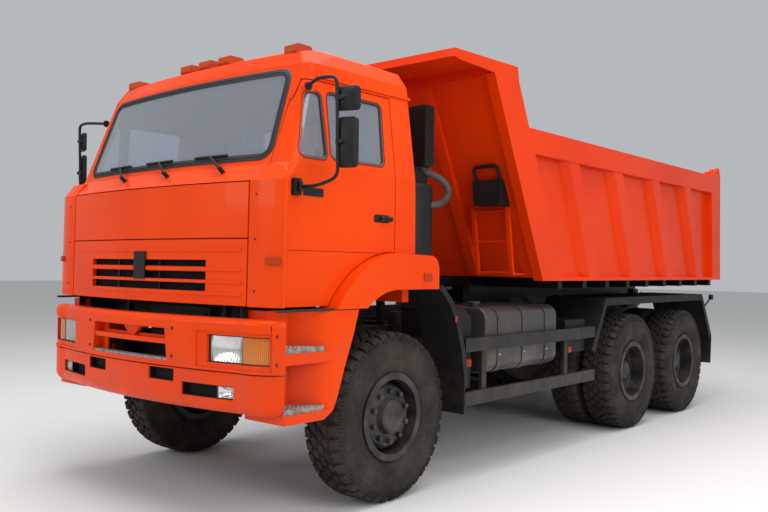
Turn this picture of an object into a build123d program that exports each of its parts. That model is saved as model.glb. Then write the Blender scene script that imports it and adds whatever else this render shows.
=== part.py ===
# Three-axle all-wheel-drive dump truck: tilting cab, steered front wheels, four twin rear wheels,
# rear-tipping body with a telescopic hoist and a top-hung tailgate.
# Millimetres, +Z up. -Y is forward and +X is the driver's left. While modelling, y = 0 is the front
# axle and y grows rearward; saving moves everything so that y = 0 is the middle of the length.
from build123d import *
import math
import os

os.makedirs("parts", exist_ok=True)

# ---------------------------------------------------------------- driving dimensions
FRONT_OVERHANG = 1272      # bumper's foremost point ahead of the front axle
REAR_OVERHANG = 1155       # tailgate hinge eyes behind the third axle
WHEELBASE = 3600           # first to second axle
BOGIE = 1320               # second to third axle
FIT = 0.3                  # gap between pieces that seat on one another
SEAM = 7                   # visible seam round doors, lids and lamps

TYRE_R = 561               # 12.00R20
TYRE_WIDTH = 313
BEAD_R = 254
FLANGE_R = 290
FRONT_TRACK = 2080
TWIN_CENTRE = 930          # middle of a twin pair from the centre line
TWIN_SPACING = 350
KINGPIN_X = 900
HUB_PCD = 335
HUB_NUTS = 10
HUB_HALF = 60              # the rear hub's reach inboard of the twin centre
DISC_BACK = 84             # inner face of the front wheel's disc from the tyre's middle
DIFF_R = 205
BEAM_R = 75

RAIL_OUT = 432             # outer face of a frame rail
RAIL_FLANGE = 80
RAIL_HEIGHT = 280
RAIL_WEB = 8
RAIL_TOP = 1090
RAIL_FRONT = -1080
RAIL_REAR = 5650

CAB_HALF = 1170
CAB_BOTTOM = 1310
CAB_BACK = 262
CAB_WALL = 60
CAB_BELT = 2140
CAB_TILT_Y = -1105         # pivot of the tilting cab
CAB_TILT_Z = 1000
DOOR_FRONT = -990
DOOR_REAR = -5
DOOR_TOP_Y = -762
DOOR_TOP = 2676
DOOR_INNER = 1018          # how far in the door's upper frame reaches
GUTTER_Z = 2700
FLARE_TOP = 1641
GRILLE_TOP = 1706
HOOD_TOP = 2040
PANEL_HALF = 973
SKIN = 30                  # thickness of the loose front panels
DEFLECTOR_TOP = 2130

BUMPER_BOTTOM = 690
BUMPER_SPLIT = 930
BUMPER_TOP = 1240
BUMPER_HALF = 1250
BUMPER_DEPTH = 80

BED_HALF = 1260
BED_LIP_Z = 1455           # underside of the body
BED_RAIL_LOW = 2485
BED_RAIL_TOP = 2685
BED_REAR = 6028
BED_PANEL = 1195           # recessed side sheet
BED_SHEET = 20
BED_FLOOR_TOP = 1500
POST_DEPTH = 345           # front post, along the truck
LEAN = 0.4805              # the front wall's forward lean, along over up
FRONT_POST_Y = 1794        # front post's foot at the lip
CANOPY_FRONT = 522
CANOPY_TOP = 3135
RIB_COUNT = 4
RIB_FIRST = 2159           # first rib's top, front edge
RIB_PITCH = 880
RIB_WIDTH = 320
RIB_LEAN = 0.40

BED_PIVOT_Y = 5420
BED_PIVOT_Z = 1275
HOIST_Y = 2950
HOIST_BASE_Z = 830
HOIST_PIN_Z = 1390
HOIST_PIN_R = 20
GATE_PIVOT_Y = 6030
GATE_PIVOT_Z = 2765

AXLE_Z = TYRE_R
HUB_INNER_X = TWIN_CENTRE - HUB_HALF
THIRD_AXLE = WHEELBASE + BOGIE
LENGTH_FRONT = -FRONT_OVERHANG
LENGTH_REAR = THIRD_AXLE + REAR_OVERHANG
MIDDLE_Y = (LENGTH_FRONT + LENGTH_REAR) / 2
BOGIE_MIDDLE = WHEELBASE + BOGIE / 2

# ---------------------------------------------------------------- helpers


def block(x0, x1, y0, y1, z0, z1):
    """A box between three pairs of faces."""
    centre = Pos((x0 + x1) / 2, (y0 + y1) / 2, (z0 + z1) / 2)
    return centre * Box(abs(x1 - x0), abs(y1 - y0), abs(z1 - z0))


def side_prism(outline, x0, x1):
    """A prism across the truck from a closed outline of (y, z) points."""
    plane = Plane(origin=(x0, 0, 0), x_dir=(0, 1, 0), z_dir=(1, 0, 0))
    face = make_face(Polyline(*outline, close=True))
    return extrude(plane * face, amount=x1 - x0)


def side_face(edges, x0, x1):
    """A prism across the truck from edges already drawn in (y, z)."""
    plane = Plane(origin=(x0, 0, 0), x_dir=(0, 1, 0), z_dir=(1, 0, 0))
    return extrude(plane * make_face(edges), amount=x1 - x0)


def front_prism(outline, y0, y1):
    """A prism along the truck from a closed outline of (x, z) points."""
    plane = Plane(origin=(0, y1, 0), x_dir=(1, 0, 0), z_dir=(0, -1, 0))
    face = make_face(Polyline(*outline, close=True))
    return extrude(plane * face, amount=y1 - y0)


def deck_prism(outline, z0, z1):
    """An upright prism from a closed outline of (x, y) points."""
    face = make_face(Polyline(*outline, close=True))
    return extrude(Plane.XY.offset(z0) * face, amount=z1 - z0)


def rod(start, end, radius):
    """A round bar between two points."""
    a, b = Vector(*start), Vector(*end)
    plane = Plane(origin=a, z_dir=b - a)
    return extrude(plane * Circle(radius), amount=(b - a).length)


def bent_tube(points, bend, radius):
    """A round tube along a filleted route."""
    route = FilletPolyline(*points, radius=bend)
    start = Plane(origin=route @ 0, z_dir=route % 0)
    return sweep(start * Circle(radius), path=route)


def strip(line, thickness):
    """A closed outline round an open (y, z) line, thickened to its left."""
    left = []
    for i, (y, z) in enumerate(line):
        before = line[max(i - 1, 0)]
        after = line[min(i + 1, len(line) - 1)]
        dy, dz = after[0] - before[0], after[1] - before[1]
        size = math.hypot(dy, dz)
        left.append((y - dz / size * thickness, z + dy / size * thickness))
    return line + left[::-1]


def turned(profile):
    """A solid of revolution about X from (x, radius) points."""
    face = make_face(Polyline(*[(x, 0, r) for x, r in profile], close=True))
    return revolve(face, Axis.X, 360)


def flip(shape):
    """The right-hand twin of a left-hand piece."""
    return mirror(shape, about=Plane.YZ)


def pair(shape):
    """A left-hand piece and its twin, as loose solids of one node."""
    return Compound(children=[shape, flip(shape)])


def group(shapes):
    """Loose solids of one node."""
    return Compound(children=list(shapes))


def fused(shapes):
    """One solid from pieces that meet."""
    shapes = list(shapes)
    result = shapes[0]
    for shape in shapes[1:]:
        result = result + shape
    return result


def save(node, shape):
    """Writes one node, moved so that the middle of the length is y = 0."""
    moved = Pos(0, -MIDDLE_Y, 0) * shape
    export_step(moved, f"parts/{node}.step")


# ---------------------------------------------------------------- chassis frame
RAIL_IN = RAIL_OUT - RAIL_FLANGE
RAIL_BOTTOM = RAIL_TOP - RAIL_HEIGHT
SUBFRAME_TOP = RAIL_TOP + 100
SUBFRAME_FRONT = 900
SUBFRAME_REAR = 5560


def frame_rail():
    """One C-section rail, open inward, with the body's subframe bar above it."""
    bar = block(RAIL_IN, RAIL_OUT, RAIL_FRONT, RAIL_REAR, RAIL_BOTTOM, RAIL_TOP)
    hollow = block(RAIL_IN - 1, RAIL_OUT - RAIL_WEB, RAIL_FRONT - 1, RAIL_REAR + 1,
                   RAIL_BOTTOM + RAIL_WEB, RAIL_TOP - RAIL_WEB)
    subframe = block(RAIL_IN, RAIL_OUT, SUBFRAME_FRONT, SUBFRAME_REAR, RAIL_TOP, SUBFRAME_TOP)
    cheek = side_prism([(BED_PIVOT_Y - 130, SUBFRAME_TOP - 60), (BED_PIVOT_Y - 60, BED_PIVOT_Z + 55),
                        (BED_PIVOT_Y + 60, BED_PIVOT_Z + 55), (BED_PIVOT_Y + 130, SUBFRAME_TOP - 60)],
                       RAIL_OUT, RAIL_OUT + 28)
    bore = rod((RAIL_IN - 40, BED_PIVOT_Y, BED_PIVOT_Z), (RAIL_OUT + 60, BED_PIVOT_Y, BED_PIVOT_Z), 31)
    return bar - hollow + subframe + cheek - bore


CROSS_MEMBERS = [  # station along the truck, lower height, upper height
    (-980, 830, 1070),
    (1330, 960, 1070),
    (2000, 850, 1070),
    (3260, 830, 1070),
    (BOGIE_MIDDLE, 830, 1070),
    (5540, 830, 1070),
]
WEB_IN = RAIL_OUT - RAIL_WEB
TOW_BORE_R = 26
TOW_Y = 5735
TOW_Z = 880


def cross_member(station, low, high):
    """A channel between the rails' webs, open forward."""
    bar = block(-WEB_IN + FIT, WEB_IN - FIT, station - 60, station + 60, low, high)
    inside = block(-WEB_IN, WEB_IN, station - 61, station + 48, low + 12, high - 12)
    return bar - inside


def tow_jaw():
    """The rear tow jaw: a plate, a neck and two lips with a pin bore."""
    plate = block(-120, 120, RAIL_REAR - 50, RAIL_REAR - 20, 790, 1010)
    neck = rod((0, RAIL_REAR - 30, TOW_Z), (0, TOW_Y - 60, TOW_Z), 45)
    lips = block(-80, 80, TOW_Y - 70, TOW_Y + 60, TOW_Z - 70, TOW_Z + 70)
    mouth = block(-90, 90, TOW_Y - 45, TOW_Y + 80, TOW_Z - 38, TOW_Z + 38)
    bore = rod((0, TOW_Y, TOW_Z - 100), (0, TOW_Y, TOW_Z + 100), TOW_BORE_R)
    return plate + neck + lips - mouth - bore


save("frame_rails", pair(frame_rail()))

# Hoist cradle: a box beam between the webs that carries the trunnions of the telescopic cylinder.
HOIST_R = 100
cradle_sides = [block(side * 130 - 20, side * 130 + 20, HOIST_Y - 90, HOIST_Y + 90,
                      HOIST_BASE_Z - 70, HOIST_BASE_Z + 80) for side in (-1, 1)]
cradle_arms = [block(side * 150, side * (WEB_IN - FIT), HOIST_Y - 60, HOIST_Y + 60,
                     RAIL_BOTTOM + 12, RAIL_BOTTOM + 52) for side in (-1, 1)]
cradle_bore = rod((-200, HOIST_Y, HOIST_BASE_Z), (200, HOIST_Y, HOIST_BASE_Z), 26)
cradle = [side + arm - cradle_bore for side, arm in zip(cradle_sides, cradle_arms)]

# ---------------------------------------------------------------- engine and driveline
engine = block(-300, 300, -560, 330, 790, 1150)
engine_mounts = [block(side * 299, side * (WEB_IN - FIT), y - 35, y + 35, 850, 910)
                 for side in (-1, 1) for y in (-420, 180)]
sump = side_prism([(-520, 791), (-480, 690), (-290, 690), (-250, 791)], -180, 180)

SHAFT_R = 45
gearbox = side_prism([(330 + FIT, 840), (330 + FIT, 1140), (620, 1120), (1180, 1020), (1180, 840)], -210, 210)
transfer = block(-190, 190, 1480, 1800, 660, 1060)
transfer_mounts = [block(side * 189, side * (WEB_IN - FIT), 1600, 1680, 950, 1000) for side in (-1, 1)]
front_shaft = rod((0, 254, 620), (0, 1500, 740), SHAFT_R)
main_shaft = rod((0, 1160, 900), (0, 1500, 900), SHAFT_R)
rear_shaft = rod((0, 1780, 720), (0, WHEELBASE - 296, 620), SHAFT_R)
link_shaft = rod((0, WHEELBASE + DIFF_R + 1, 620), (0, THIRD_AXLE - 292, 620), SHAFT_R)
save("driveline", group([fused([gearbox, main_shaft, transfer, front_shaft, rear_shaft] + transfer_mounts), link_shaft]))

radiator = block(-330, 330, -860, -760, 830, 1270)
radiator_arms = [block(side * 329, side * (WEB_IN - FIT), -830, -790, 900, 960) for side in (-1, 1)]
apron = block(-890, 890, -800, -786, RAIL_TOP + 10, 1290)
radiator_fins = [block(-300, 300, -874, -859, z, z + 12) for z in range(860, 1250, 40)]
save("engine_block", group([fused([engine, sump] + engine_mounts),
                             fused([radiator, apron] + radiator_arms + radiator_fins)]))

# ---------------------------------------------------------------- axles, springs, knuckles


def axle_case(station, half, nose):
    """A live axle: round beam, bulged differential case and a pinion nose."""
    case = turned([(-half, 0), (-half, BEAM_R), (-330, BEAM_R + 8), (-190, 150), (-90, DIFF_R - 12),
                   (-40, DIFF_R), (40, DIFF_R), (90, DIFF_R - 12), (190, 150), (330, BEAM_R + 8),
                   (half, BEAM_R), (half, 0)])
    snout = rod((0, 0, 50), (0, nose, 60), 80)
    return Pos(0, station, AXLE_Z) * (case + snout)


def leaf_pack(station, half_length, base_z, sag, leaves, leaf, centre_x, width):
    """Stacked leaves, each an arc band, shortest farthest from the main leaf."""
    bands = []
    for i in range(leaves):
        span = half_length * (1 - 0.14 * i)
        low = base_z - i * leaf * (1 if sag > 0 else -1)
        rise = sag * (span / half_length) ** 2
        outer = ThreePointArc((station - span, low + rise), (station, low), (station + span, low + rise))
        inner = ThreePointArc((station + span, low + rise + leaf), (station, low + leaf),
                              (station - span, low + rise + leaf))
        ends = [Line(outer @ 1, inner @ 0), Line(inner @ 1, outer @ 0)]
        bands.append(side_face([outer, inner] + ends, centre_x - width / 2, centre_x + width / 2))
    return fused(bands)


YOKE_Z = 135               # middle of a yoke arm above and below the axle
front_case = axle_case(0, 800, 248)
yokes = []
for side in (-1, 1):
    for level in (-1, 1):
        low, high = AXLE_Z + level * YOKE_Z - 20, AXLE_Z + level * YOKE_Z + 20
        yokes.append(block(side * 790, side * KINGPIN_X, -46, 46, low, high))
        yokes.append(rod((side * KINGPIN_X, 0, low), (side * KINGPIN_X, 0, high), 46))
    yokes.append(block(side * 770, side * 812, -75, 75, AXLE_Z - 155, AXLE_Z + 155))
spring_pads = [block(side * 391 - 55, side * 391 + 55, -90, 90, AXLE_Z + 40, AXLE_Z + 100)
               for side in (-1, 1)]
save("front_axle", fused([front_case] + yokes + spring_pads))

SPRING_LEAF = 18
front_spring = leaf_pack(0, 700, AXLE_Z + 150, 52, 3, SPRING_LEAF, 391, 76)
front_clamp = block(391 - 50, 391 + 50, -70, 70, AXLE_Z + 100 + FIT, AXLE_Z + 100 + 17)
shackles = [block(391 - 44, 391 + 44, y - 40, y + 40, AXLE_Z + 150 + 45, RAIL_BOTTOM - FIT)
            for y in (-680, 680)]
front_springs = fused([front_spring, front_clamp] + shackles)

rear_pads = [block(side * 490 - 60, side * 490 + 60, -100, 100, 60, 108) for side in (-1, 1)]
rear_cases = []
for station in (WHEELBASE, THIRD_AXLE):
    case = axle_case(station, HUB_INNER_X - FIT, -290)
    pads = [Pos(0, station, AXLE_Z) * pad for pad in rear_pads]
    rear_cases.append(fused([case] + pads))
save("rear_axles", group(rear_cases))

bogie_spring = leaf_pack(BOGIE_MIDDLE, BOGIE / 2 + 70, AXLE_Z + 240, -132, 5, SPRING_LEAF, 490, 92)
saddle = block(490 - 55, 490 + 55, BOGIE_MIDDLE - 110, BOGIE_MIDDLE + 110, 700, AXLE_Z + 245)
trunnion = rod((RAIL_OUT + FIT, BOGIE_MIDDLE, 720), (545, BOGIE_MIDDLE, 720), 60)
hanger = block(RAIL_OUT + FIT, RAIL_OUT + 26, BOGIE_MIDDLE - 120, BOGIE_MIDDLE + 120, 660, 1060)
bogie_springs = fused([bogie_spring, saddle, trunnion, hanger])
save("leaf_springs", group([pair(front_springs), pair(bogie_springs)]))


def knuckle():
    """The steered joint ball, its spindle and brake drum backing, inside the front rim."""
    ball = Pos(KINGPIN_X, 0, AXLE_Z) * Cylinder(70, 2 * (YOKE_Z - 20 - FIT))
    spindle = rod((KINGPIN_X, 0, AXLE_Z), (FRONT_TRACK / 2 + DISC_BACK - FIT, 0, AXLE_Z), 48)
    plate = rod((KINGPIN_X + 52, 0, AXLE_Z), (KINGPIN_X + 66, 0, AXLE_Z), 190)
    arm = block(KINGPIN_X - 25, KINGPIN_X + 25, 0, 200, AXLE_Z - 100, AXLE_Z - 70)
    return fused([ball, spindle, plate, arm])


save("left_knuckle", knuckle())
save("right_knuckle", flip(knuckle()))

# ---------------------------------------------------------------- wheels
HALF_TYRE = TYRE_WIDTH / 2
TYRE_SECTION = [  # share of the half width, radius
    (0.765, BEAD_R + FIT),
    (0.80, FLANGE_R + 6),
    (0.97, 350),
    (1.00, 420),
    (0.97, 480),
    (0.90, 525),
    (0.72, 552),
    (0.40, TYRE_R),
]
FLANGE_X = HALF_TYRE * 0.80 + 3    # inner face of a rim flange from the tyre's middle
NUT_R = HUB_PCD / 2


def tyre():
    """One tyre about X, centred on its own middle plane."""
    outer = [(share * HALF_TYRE, r) for share, r in TYRE_SECTION]
    inner = [(-x, r) for x, r in reversed(outer)]
    return turned(outer + inner)


def barrel(disc):
    """Rim barrel with both flanges; disc holds (x, radius) points from its inside."""
    shell = [(-FLANGE_X - 12, BEAD_R - 8), (-FLANGE_X - 12, FLANGE_R), (-FLANGE_X, FLANGE_R),
             (-FLANGE_X + 8, BEAD_R), (FLANGE_X - 8, BEAD_R), (FLANGE_X, FLANGE_R),
             (FLANGE_X + 12, FLANGE_R), (FLANGE_X + 12, BEAD_R - 8)]
    return turned(shell) + turned(disc)


def nuts(x0, x1):
    """The ring of wheel nuts as short bars along X."""
    ring = []
    for i in range(HUB_NUTS):
        angle = 2 * math.pi * (i + 0.5) / HUB_NUTS
        y, z = NUT_R * math.cos(angle), NUT_R * math.sin(angle)
        ring.append(rod((x0, y, z), (x1, y, z), 17))
    return ring


front_disc = [(-12, BEAD_R - 4), (8, BEAD_R - 4), (30, 232), (78, 214), (92, 196), (98, 120),
              (138, 108), (146, 92), (146, 0), (DISC_BACK, 0), (DISC_BACK, 190), (16, 216)]
front_wheel = fused([barrel(front_disc)] + nuts(90, 124))

OUTER_X = TWIN_SPACING / 2
dish = [(18, BEAD_R - 4), (-10, BEAD_R - 4), (-60, 236), (-165, 214), (-OUTER_X, 200), (-OUTER_X, 0),
        (-OUTER_X + 14, 0), (-OUTER_X + 14, 196), (-150, 204), (-52, 226), (-4, 240)]
outer_rim = Pos(OUTER_X, 0, 0) * barrel(dish)
inner_rim = mirror(outer_rim, about=Plane.YZ)
hub = turned([(-HUB_HALF, 0), (-HUB_HALF, 118), (60, 118), (70, 104), (225, 96), (240, 78), (240, 0)])
drum = turned([(-215, 150), (-215, 205), (-20, 205), (-20, 150)])
twin_rims = fused([outer_rim, inner_rim, hub, drum] + nuts(10, 52))
# A flange so that the drum and both dishes are one casting.
twin_rims = twin_rims + turned([(-24, 0), (-24, 206), (-2, 206), (-2, 0)])
twin_tyres = group([Pos(side * OUTER_X, 0, 0) * tyre() for side in (-1, 1)])

front_place = Pos(FRONT_TRACK / 2, 0, AXLE_Z)
save("front_left_rim", front_place * front_wheel)
save("front_left_tyre", front_place * tyre())
save("front_right_rim", flip(front_place * front_wheel))
save("front_right_tyre", flip(front_place * tyre()))
for label, station in (("second", WHEELBASE), ("third", THIRD_AXLE)):
    place = Pos(TWIN_CENTRE, station, AXLE_Z)
    save(f"{label}_left_rims", place * twin_rims)
    save(f"{label}_left_tyres", place * twin_tyres)
    save(f"{label}_right_rims", flip(place * twin_rims))
    save(f"{label}_right_tyres", flip(place * twin_tyres))

# ---------------------------------------------------------------- bumper, lamps, steps
CORNER_X = 985
CORNER_Y = -1165
END_Y = -1034
STAY_FRONT = -1181.5


def bumper_band(inset, z0, z1):
    """The bumper's plan: a shallow front arc and two rounded ends, set in by a distance."""
    front = -FRONT_OVERHANG + inset
    corner = (CORNER_X - inset * 0.45, CORNER_Y + inset)
    end_x = BUMPER_HALF - inset
    nose = ThreePointArc((-corner[0], corner[1]), (0, front), corner)
    right = ThreePointArc(corner, (end_x - 62, -1110 + inset * 0.72), (end_x, END_Y))
    left = ThreePointArc((-end_x, END_Y), (-end_x + 62, -1110 + inset * 0.72), (-corner[0], corner[1]))
    back = Line((end_x, END_Y), (-end_x, END_Y))
    face = make_face([nose, right, back, left])
    return extrude(Plane.XY.offset(z0) * face, amount=z1 - z0)


upper_solid = bumper_band(0, BUMPER_SPLIT + 4, BUMPER_TOP)
top_edges = upper_solid.edges().group_by(Axis.Z)[-1].filter_by(GeomType.LINE, reverse=True)
upper_solid = fillet(top_edges, 34)
upper = upper_solid - bumper_band(BUMPER_DEPTH, BUMPER_SPLIT - 10, BUMPER_TOP + 10)
lower_solid = bumper_band(6, BUMPER_BOTTOM, BUMPER_SPLIT - 4)
low_edges = lower_solid.edges().group_by(Axis.Z)[0].filter_by(GeomType.LINE, reverse=True)
lower_solid = fillet(low_edges, 60)
lower = lower_solid - bumper_band(BUMPER_DEPTH, BUMPER_BOTTOM - 10, BUMPER_SPLIT + 10)

LAMP_X = (750, 1188)
LAMP_Z = (980, 1143)
AMBER_X = 1003
FOG_X = (823, 957)
FOG_IN = 552               # inner end of the fog lamp's opening
FOG_Z = (772, 850)
TOW_X = 365
TOW_Z_FRONT = 880          # middle of the front tow eyes
TOW_PIN_Y = -1145          # between the beam and the bumper, so a pin comes up from below
TOW_R = 16
LAMP_POCKET = 64           # depth of the lamp pockets from the bumper's face
LAMP_FRAME = (671, 1204)   # the shallow pressed frame round a head lamp
LAMP_FRAME_Z = (950, 1164)
lamp_cuts = []
for side in (-1, 1):
    lamp_cuts.append(block(side * LAMP_X[0], side * LAMP_X[1], -1400, -1030, *LAMP_Z))
    lamp_cuts.append(block(side * FOG_IN, side * FOG_X[1], -1400, -1075, *FOG_Z))
    lamp_cuts.append(block(side * (TOW_X - 118), side * (TOW_X + 118), -1400, -1075, 842, 918))
CENTRE_HALF = 425
CENTRE_LOW = 962
SLOT_PANEL = 68            # how deep the slotted panel lies behind the bumper's face
centre_cut = front_prism([(-CENTRE_HALF, CENTRE_LOW), (CENTRE_HALF, CENTRE_LOW), (CENTRE_HALF - 25, 1160),
                          (25 - CENTRE_HALF, 1160)], -1400, -1075)
slots = [block(-337, 337, -1400, -1075, low, high) for low, high in ((968, 1055), (1108, 1152))]
bar_band = bumper_band(8, 1064, 1094) - bumper_band(SLOT_PANEL + 1, 1000, 1200)
cross_bar = bar_band & block(-CENTRE_HALF, CENTRE_HALF, -1400, -1075, 1000, 1200)
notch_band = bumper_band(46, 1090, 1161) - bumper_band(SLOT_PANEL + 6, 1000, 1200)
notch = notch_band & front_prism([(-105, 1162), (105, 1162), (28, 1090), (-28, 1090)], -1400, -1075)
pocket_floor = bumper_band(LAMP_POCKET, BUMPER_BOTTOM - 20, BUMPER_TOP + 20)
slot_panel = bumper_band(SLOT_PANEL, BUMPER_BOTTOM - 20, BUMPER_TOP + 20)
frame_floor = bumper_band(9, BUMPER_SPLIT - 20, BUMPER_TOP + 20)
for side, cut in zip((-1, 1), lamp_cuts[0::3]):
    pressed = block(side * LAMP_FRAME[0], side * LAMP_FRAME[1], -1400, -1040, *LAMP_FRAME_Z)
    upper = upper - (pressed - frame_floor) - (cut - pocket_floor)
upper = upper - (centre_cut - slot_panel)
for slot in slots:
    upper = upper - slot
for fog_cut, tow_cut in zip(lamp_cuts[1::3], lamp_cuts[2::3]):
    lower = lower - (fog_cut - pocket_floor) - tow_cut
bumper_upper = fused([upper, cross_bar, notch])

BEAM_FRONT = -1110
beam = block(-560, 560, BEAM_FRONT, RAIL_FRONT - FIT, 800, 930)
EYE_HALF = 34              # half the height of a front tow eye


def front_eye(side):
    """One front tow eye: a foot plate on the beam and two lips with a pin bore."""
    x = side * TOW_X
    foot = block(x - 60, x + 60, BEAM_FRONT - 10, BEAM_FRONT - FIT, TOW_Z_FRONT - EYE_HALF, TOW_Z_FRONT + EYE_HALF)
    lips = [block(x - 50, x + 50, TOW_PIN_Y - 23, BEAM_FRONT - 9, TOW_Z_FRONT + level, TOW_Z_FRONT + level + 15)
            for level in (-EYE_HALF, EYE_HALF - 15)]
    return fused([foot] + lips) - rod((x, TOW_PIN_Y, 790), (x, TOW_PIN_Y, 950), TOW_R)


front_eyes = [front_eye(side) for side in (-1, 1)]
tilt_lugs = []
for side in (-1, 1):
    lug = side_prism([(CAB_TILT_Y - 40, CAB_TILT_Z + 42), (CAB_TILT_Y + 40, CAB_TILT_Z + 42),
                      (RAIL_FRONT - 5, 929), (BEAM_FRONT + 1, 929)], side * 500 - 25, side * 500 + 25)
    tilt_lugs.append(lug - rod((side * 400, CAB_TILT_Y, CAB_TILT_Z), (side * 600, CAB_TILT_Y, CAB_TILT_Z), 21))
stays = [block(side * 160 - 40, side * 160 + 40, STAY_FRONT, BEAM_FRONT + 1, 840, 918) for side in (-1, 1)]
front_beam = fused([beam] + stays + tilt_lugs)
members = [cross_member(*row) for row in CROSS_MEMBERS]
save("cross_members", group(members + [tow_jaw(), front_beam] + front_eyes + cradle))

deck_band = bumper_band(6, CENTRE_LOW + FIT, CENTRE_LOW + 14) - bumper_band(SLOT_PANEL - FIT, 900, 1100)
tread_deck = deck_band & block(3 - CENTRE_HALF, CENTRE_HALF - 3, -1400, -1075, 900, 1100)
save("bumper", group([bumper_upper, lower, tread_deck]))
front_lamp_solids = []
for side in (-1, 1):
    clear = bumper_band(26, LAMP_Z[0] + 5, LAMP_Z[1] - 5) - bumper_band(LAMP_POCKET - FIT, LAMP_Z[0], LAMP_Z[1])
    clear_cut = block(side * (LAMP_X[0] + 10), side * (AMBER_X - 3), -1400, -1040, 900, 1300)
    amber_cut = block(side * (AMBER_X + 3), side * (LAMP_X[1] - 5), -1400, -1000, 900, 1300)
    front_lamp_solids += [clear & clear_cut, clear & amber_cut]
    fog = bumper_band(20, FOG_Z[0] + 5, FOG_Z[1] - 5) - bumper_band(LAMP_POCKET - FIT, FOG_Z[0], FOG_Z[1])
    front_lamp_solids.append(fog & block(side * FOG_X[0], side * (FOG_X[1] - 5), -1400, -1040, 700, 900))

STEP_LEVELS = [1078, 732]          # tops of the two treads
STEP_ROOFS = [1400, 985]           # how high the well over each tread reaches
TREAD_T = 26
STEP_IN = 905
STEP_OUT = 1248
STEP_TOP = 1286
STEP_FRONT = END_Y + FIT
STEP_WALL = 30
WELL_IN = 1075
ARCH_EDGE = [(-426, STEP_TOP), (-471, 1141), (-547, 943), (-607, 768), (-642, 693), (-690, 662)]


def well_plan(grow):
    """The step wells from above: an inner wall, then a wall that slants out to the arch."""
    return [(WELL_IN - grow, STEP_FRONT - 10), (WELL_IN - grow, -860 + grow), (1215 - grow, -734 + grow),
            (STEP_OUT + 2, -640 + grow), (1300, -640 + grow), (1300, STEP_FRONT - 10)]


step_shell = side_prism([(STEP_FRONT, STEP_TOP)] + ARCH_EDGE + [(-720, 645), (STEP_FRONT, 645)], STEP_IN, STEP_OUT)
cavity_edge = [(y - 1.5 * STEP_WALL, z) for y, z in ARCH_EDGE[:4]]
cavity = side_prism([(STEP_FRONT + STEP_WALL, 1400), (cavity_edge[0][0], 1400)] + cavity_edge +
                    [(-700, 700), (STEP_FRONT + STEP_WALL, 700)], STEP_IN - 1, STEP_OUT - STEP_WALL)
step_shell = step_shell - (cavity - deck_prism(well_plan(STEP_WALL), 600, 1500))
for top, roof in zip(STEP_LEVELS, STEP_ROOFS):
    step_shell = step_shell - deck_prism(well_plan(0), top - TREAD_T - 4, roof)
step_arm = block(RAIL_OUT + FIT, STEP_IN + 10, STEP_FRONT + 4, STEP_FRONT + 60, 840, 920)
tread_plan = [(WELL_IN + 3, STEP_FRONT + 4), (WELL_IN + 3, -865), (1205, -751), (1240, -716), (1240, STEP_FRONT + 4)]
treads = [deck_prism(tread_plan, top - TREAD_T - 4 + FIT, top) for top in STEP_LEVELS]
save("step_fenders", group([pair(step_shell + step_arm)] + [pair(tread) for tread in treads]))

# ---------------------------------------------------------------- cab envelope
CAB_SECTIONS = [  # height, front at the centre line, half width, back, corner size
    (CAB_BOTTOM, -1172, CAB_HALF, CAB_BACK, 190),
    (HOOD_TOP, -1164, CAB_HALF, CAB_BACK - 8, 190),
    (CAB_BELT + 15, -1044, CAB_HALF - 2, CAB_BACK - 12, 130),
    (2790, -812, 1086, CAB_BACK - 20, 90),
    (2880, -755, 1040, CAB_BACK - 55, 120),
    (2955, -560, 850, 40, 160),
]
FRONT_SAG = 70             # how far the front sweeps back at x = 960
SWEEP_X = 960


def cab_section(height, front, half, back, corner, inset):
    """One level of the cab: swept front, rounded corners, straight sides and back."""
    front, half, back = front + inset, half - inset, back - inset
    corner_x = half - corner
    corner_y = front + FRONT_SAG * (corner_x / SWEEP_X) ** 2
    side_y = corner_y + 0.75 * corner
    mid = (half - 0.25 * corner, corner_y + 0.25 * corner)
    rear_y = back - 60
    nose = ThreePointArc((-corner_x, corner_y), (0, front), (corner_x, corner_y))
    left = ThreePointArc((corner_x, corner_y), mid, (half, side_y))
    left_side = Line((half, side_y), (half, rear_y))
    rear_left = ThreePointArc((half, rear_y), (half - 18, back - 18), (half - 60, back))
    rear = Line((half - 60, back), (60 - half, back))
    rear_right = ThreePointArc((60 - half, back), (18 - half, back - 18), (-half, rear_y))
    right_side = Line((-half, rear_y), (-half, side_y))
    right = ThreePointArc((-half, side_y), (-mid[0], mid[1]), (-corner_x, corner_y))
    loop = [nose, left, left_side, rear_left, rear, rear_right, right_side, right]
    return Plane.XY.offset(height) * make_face(loop)


def envelope(inset, drop=0):
    """The cab's outer form, set in by a distance all round and lowered at the roof."""
    sections = []
    for height, front, half, back, corner in CAB_SECTIONS:
        level = height - drop if height > GUTTER_Z + 100 else height
        sections.append(cab_section(level, front, half, back, corner, inset))
    return loft(sections, ruled=True)


OUTER = envelope(0)
INNER = envelope(CAB_WALL, CAB_WALL)
SKIN_IN = envelope(SKIN, SKIN)
WALL_OUT = envelope(SKIN + 26, 0)
WALL_IN = envelope(SKIN + 72, 0)
SHELL = OUTER - INNER

ROOF_SPLIT = [(-1300, 2800), (-725, 2780), (-690, GUTTER_Z), (400, GUTTER_Z)]
above = side_prism(ROOF_SPLIT + [(400, 3200), (-1300, 3200)], -1400, 1400)
below = side_prism([(-1300, 1000)] + [(y, z - FIT) for y, z in ROOF_SPLIT] + [(400, 1000)], -1400, 1400)

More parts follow.
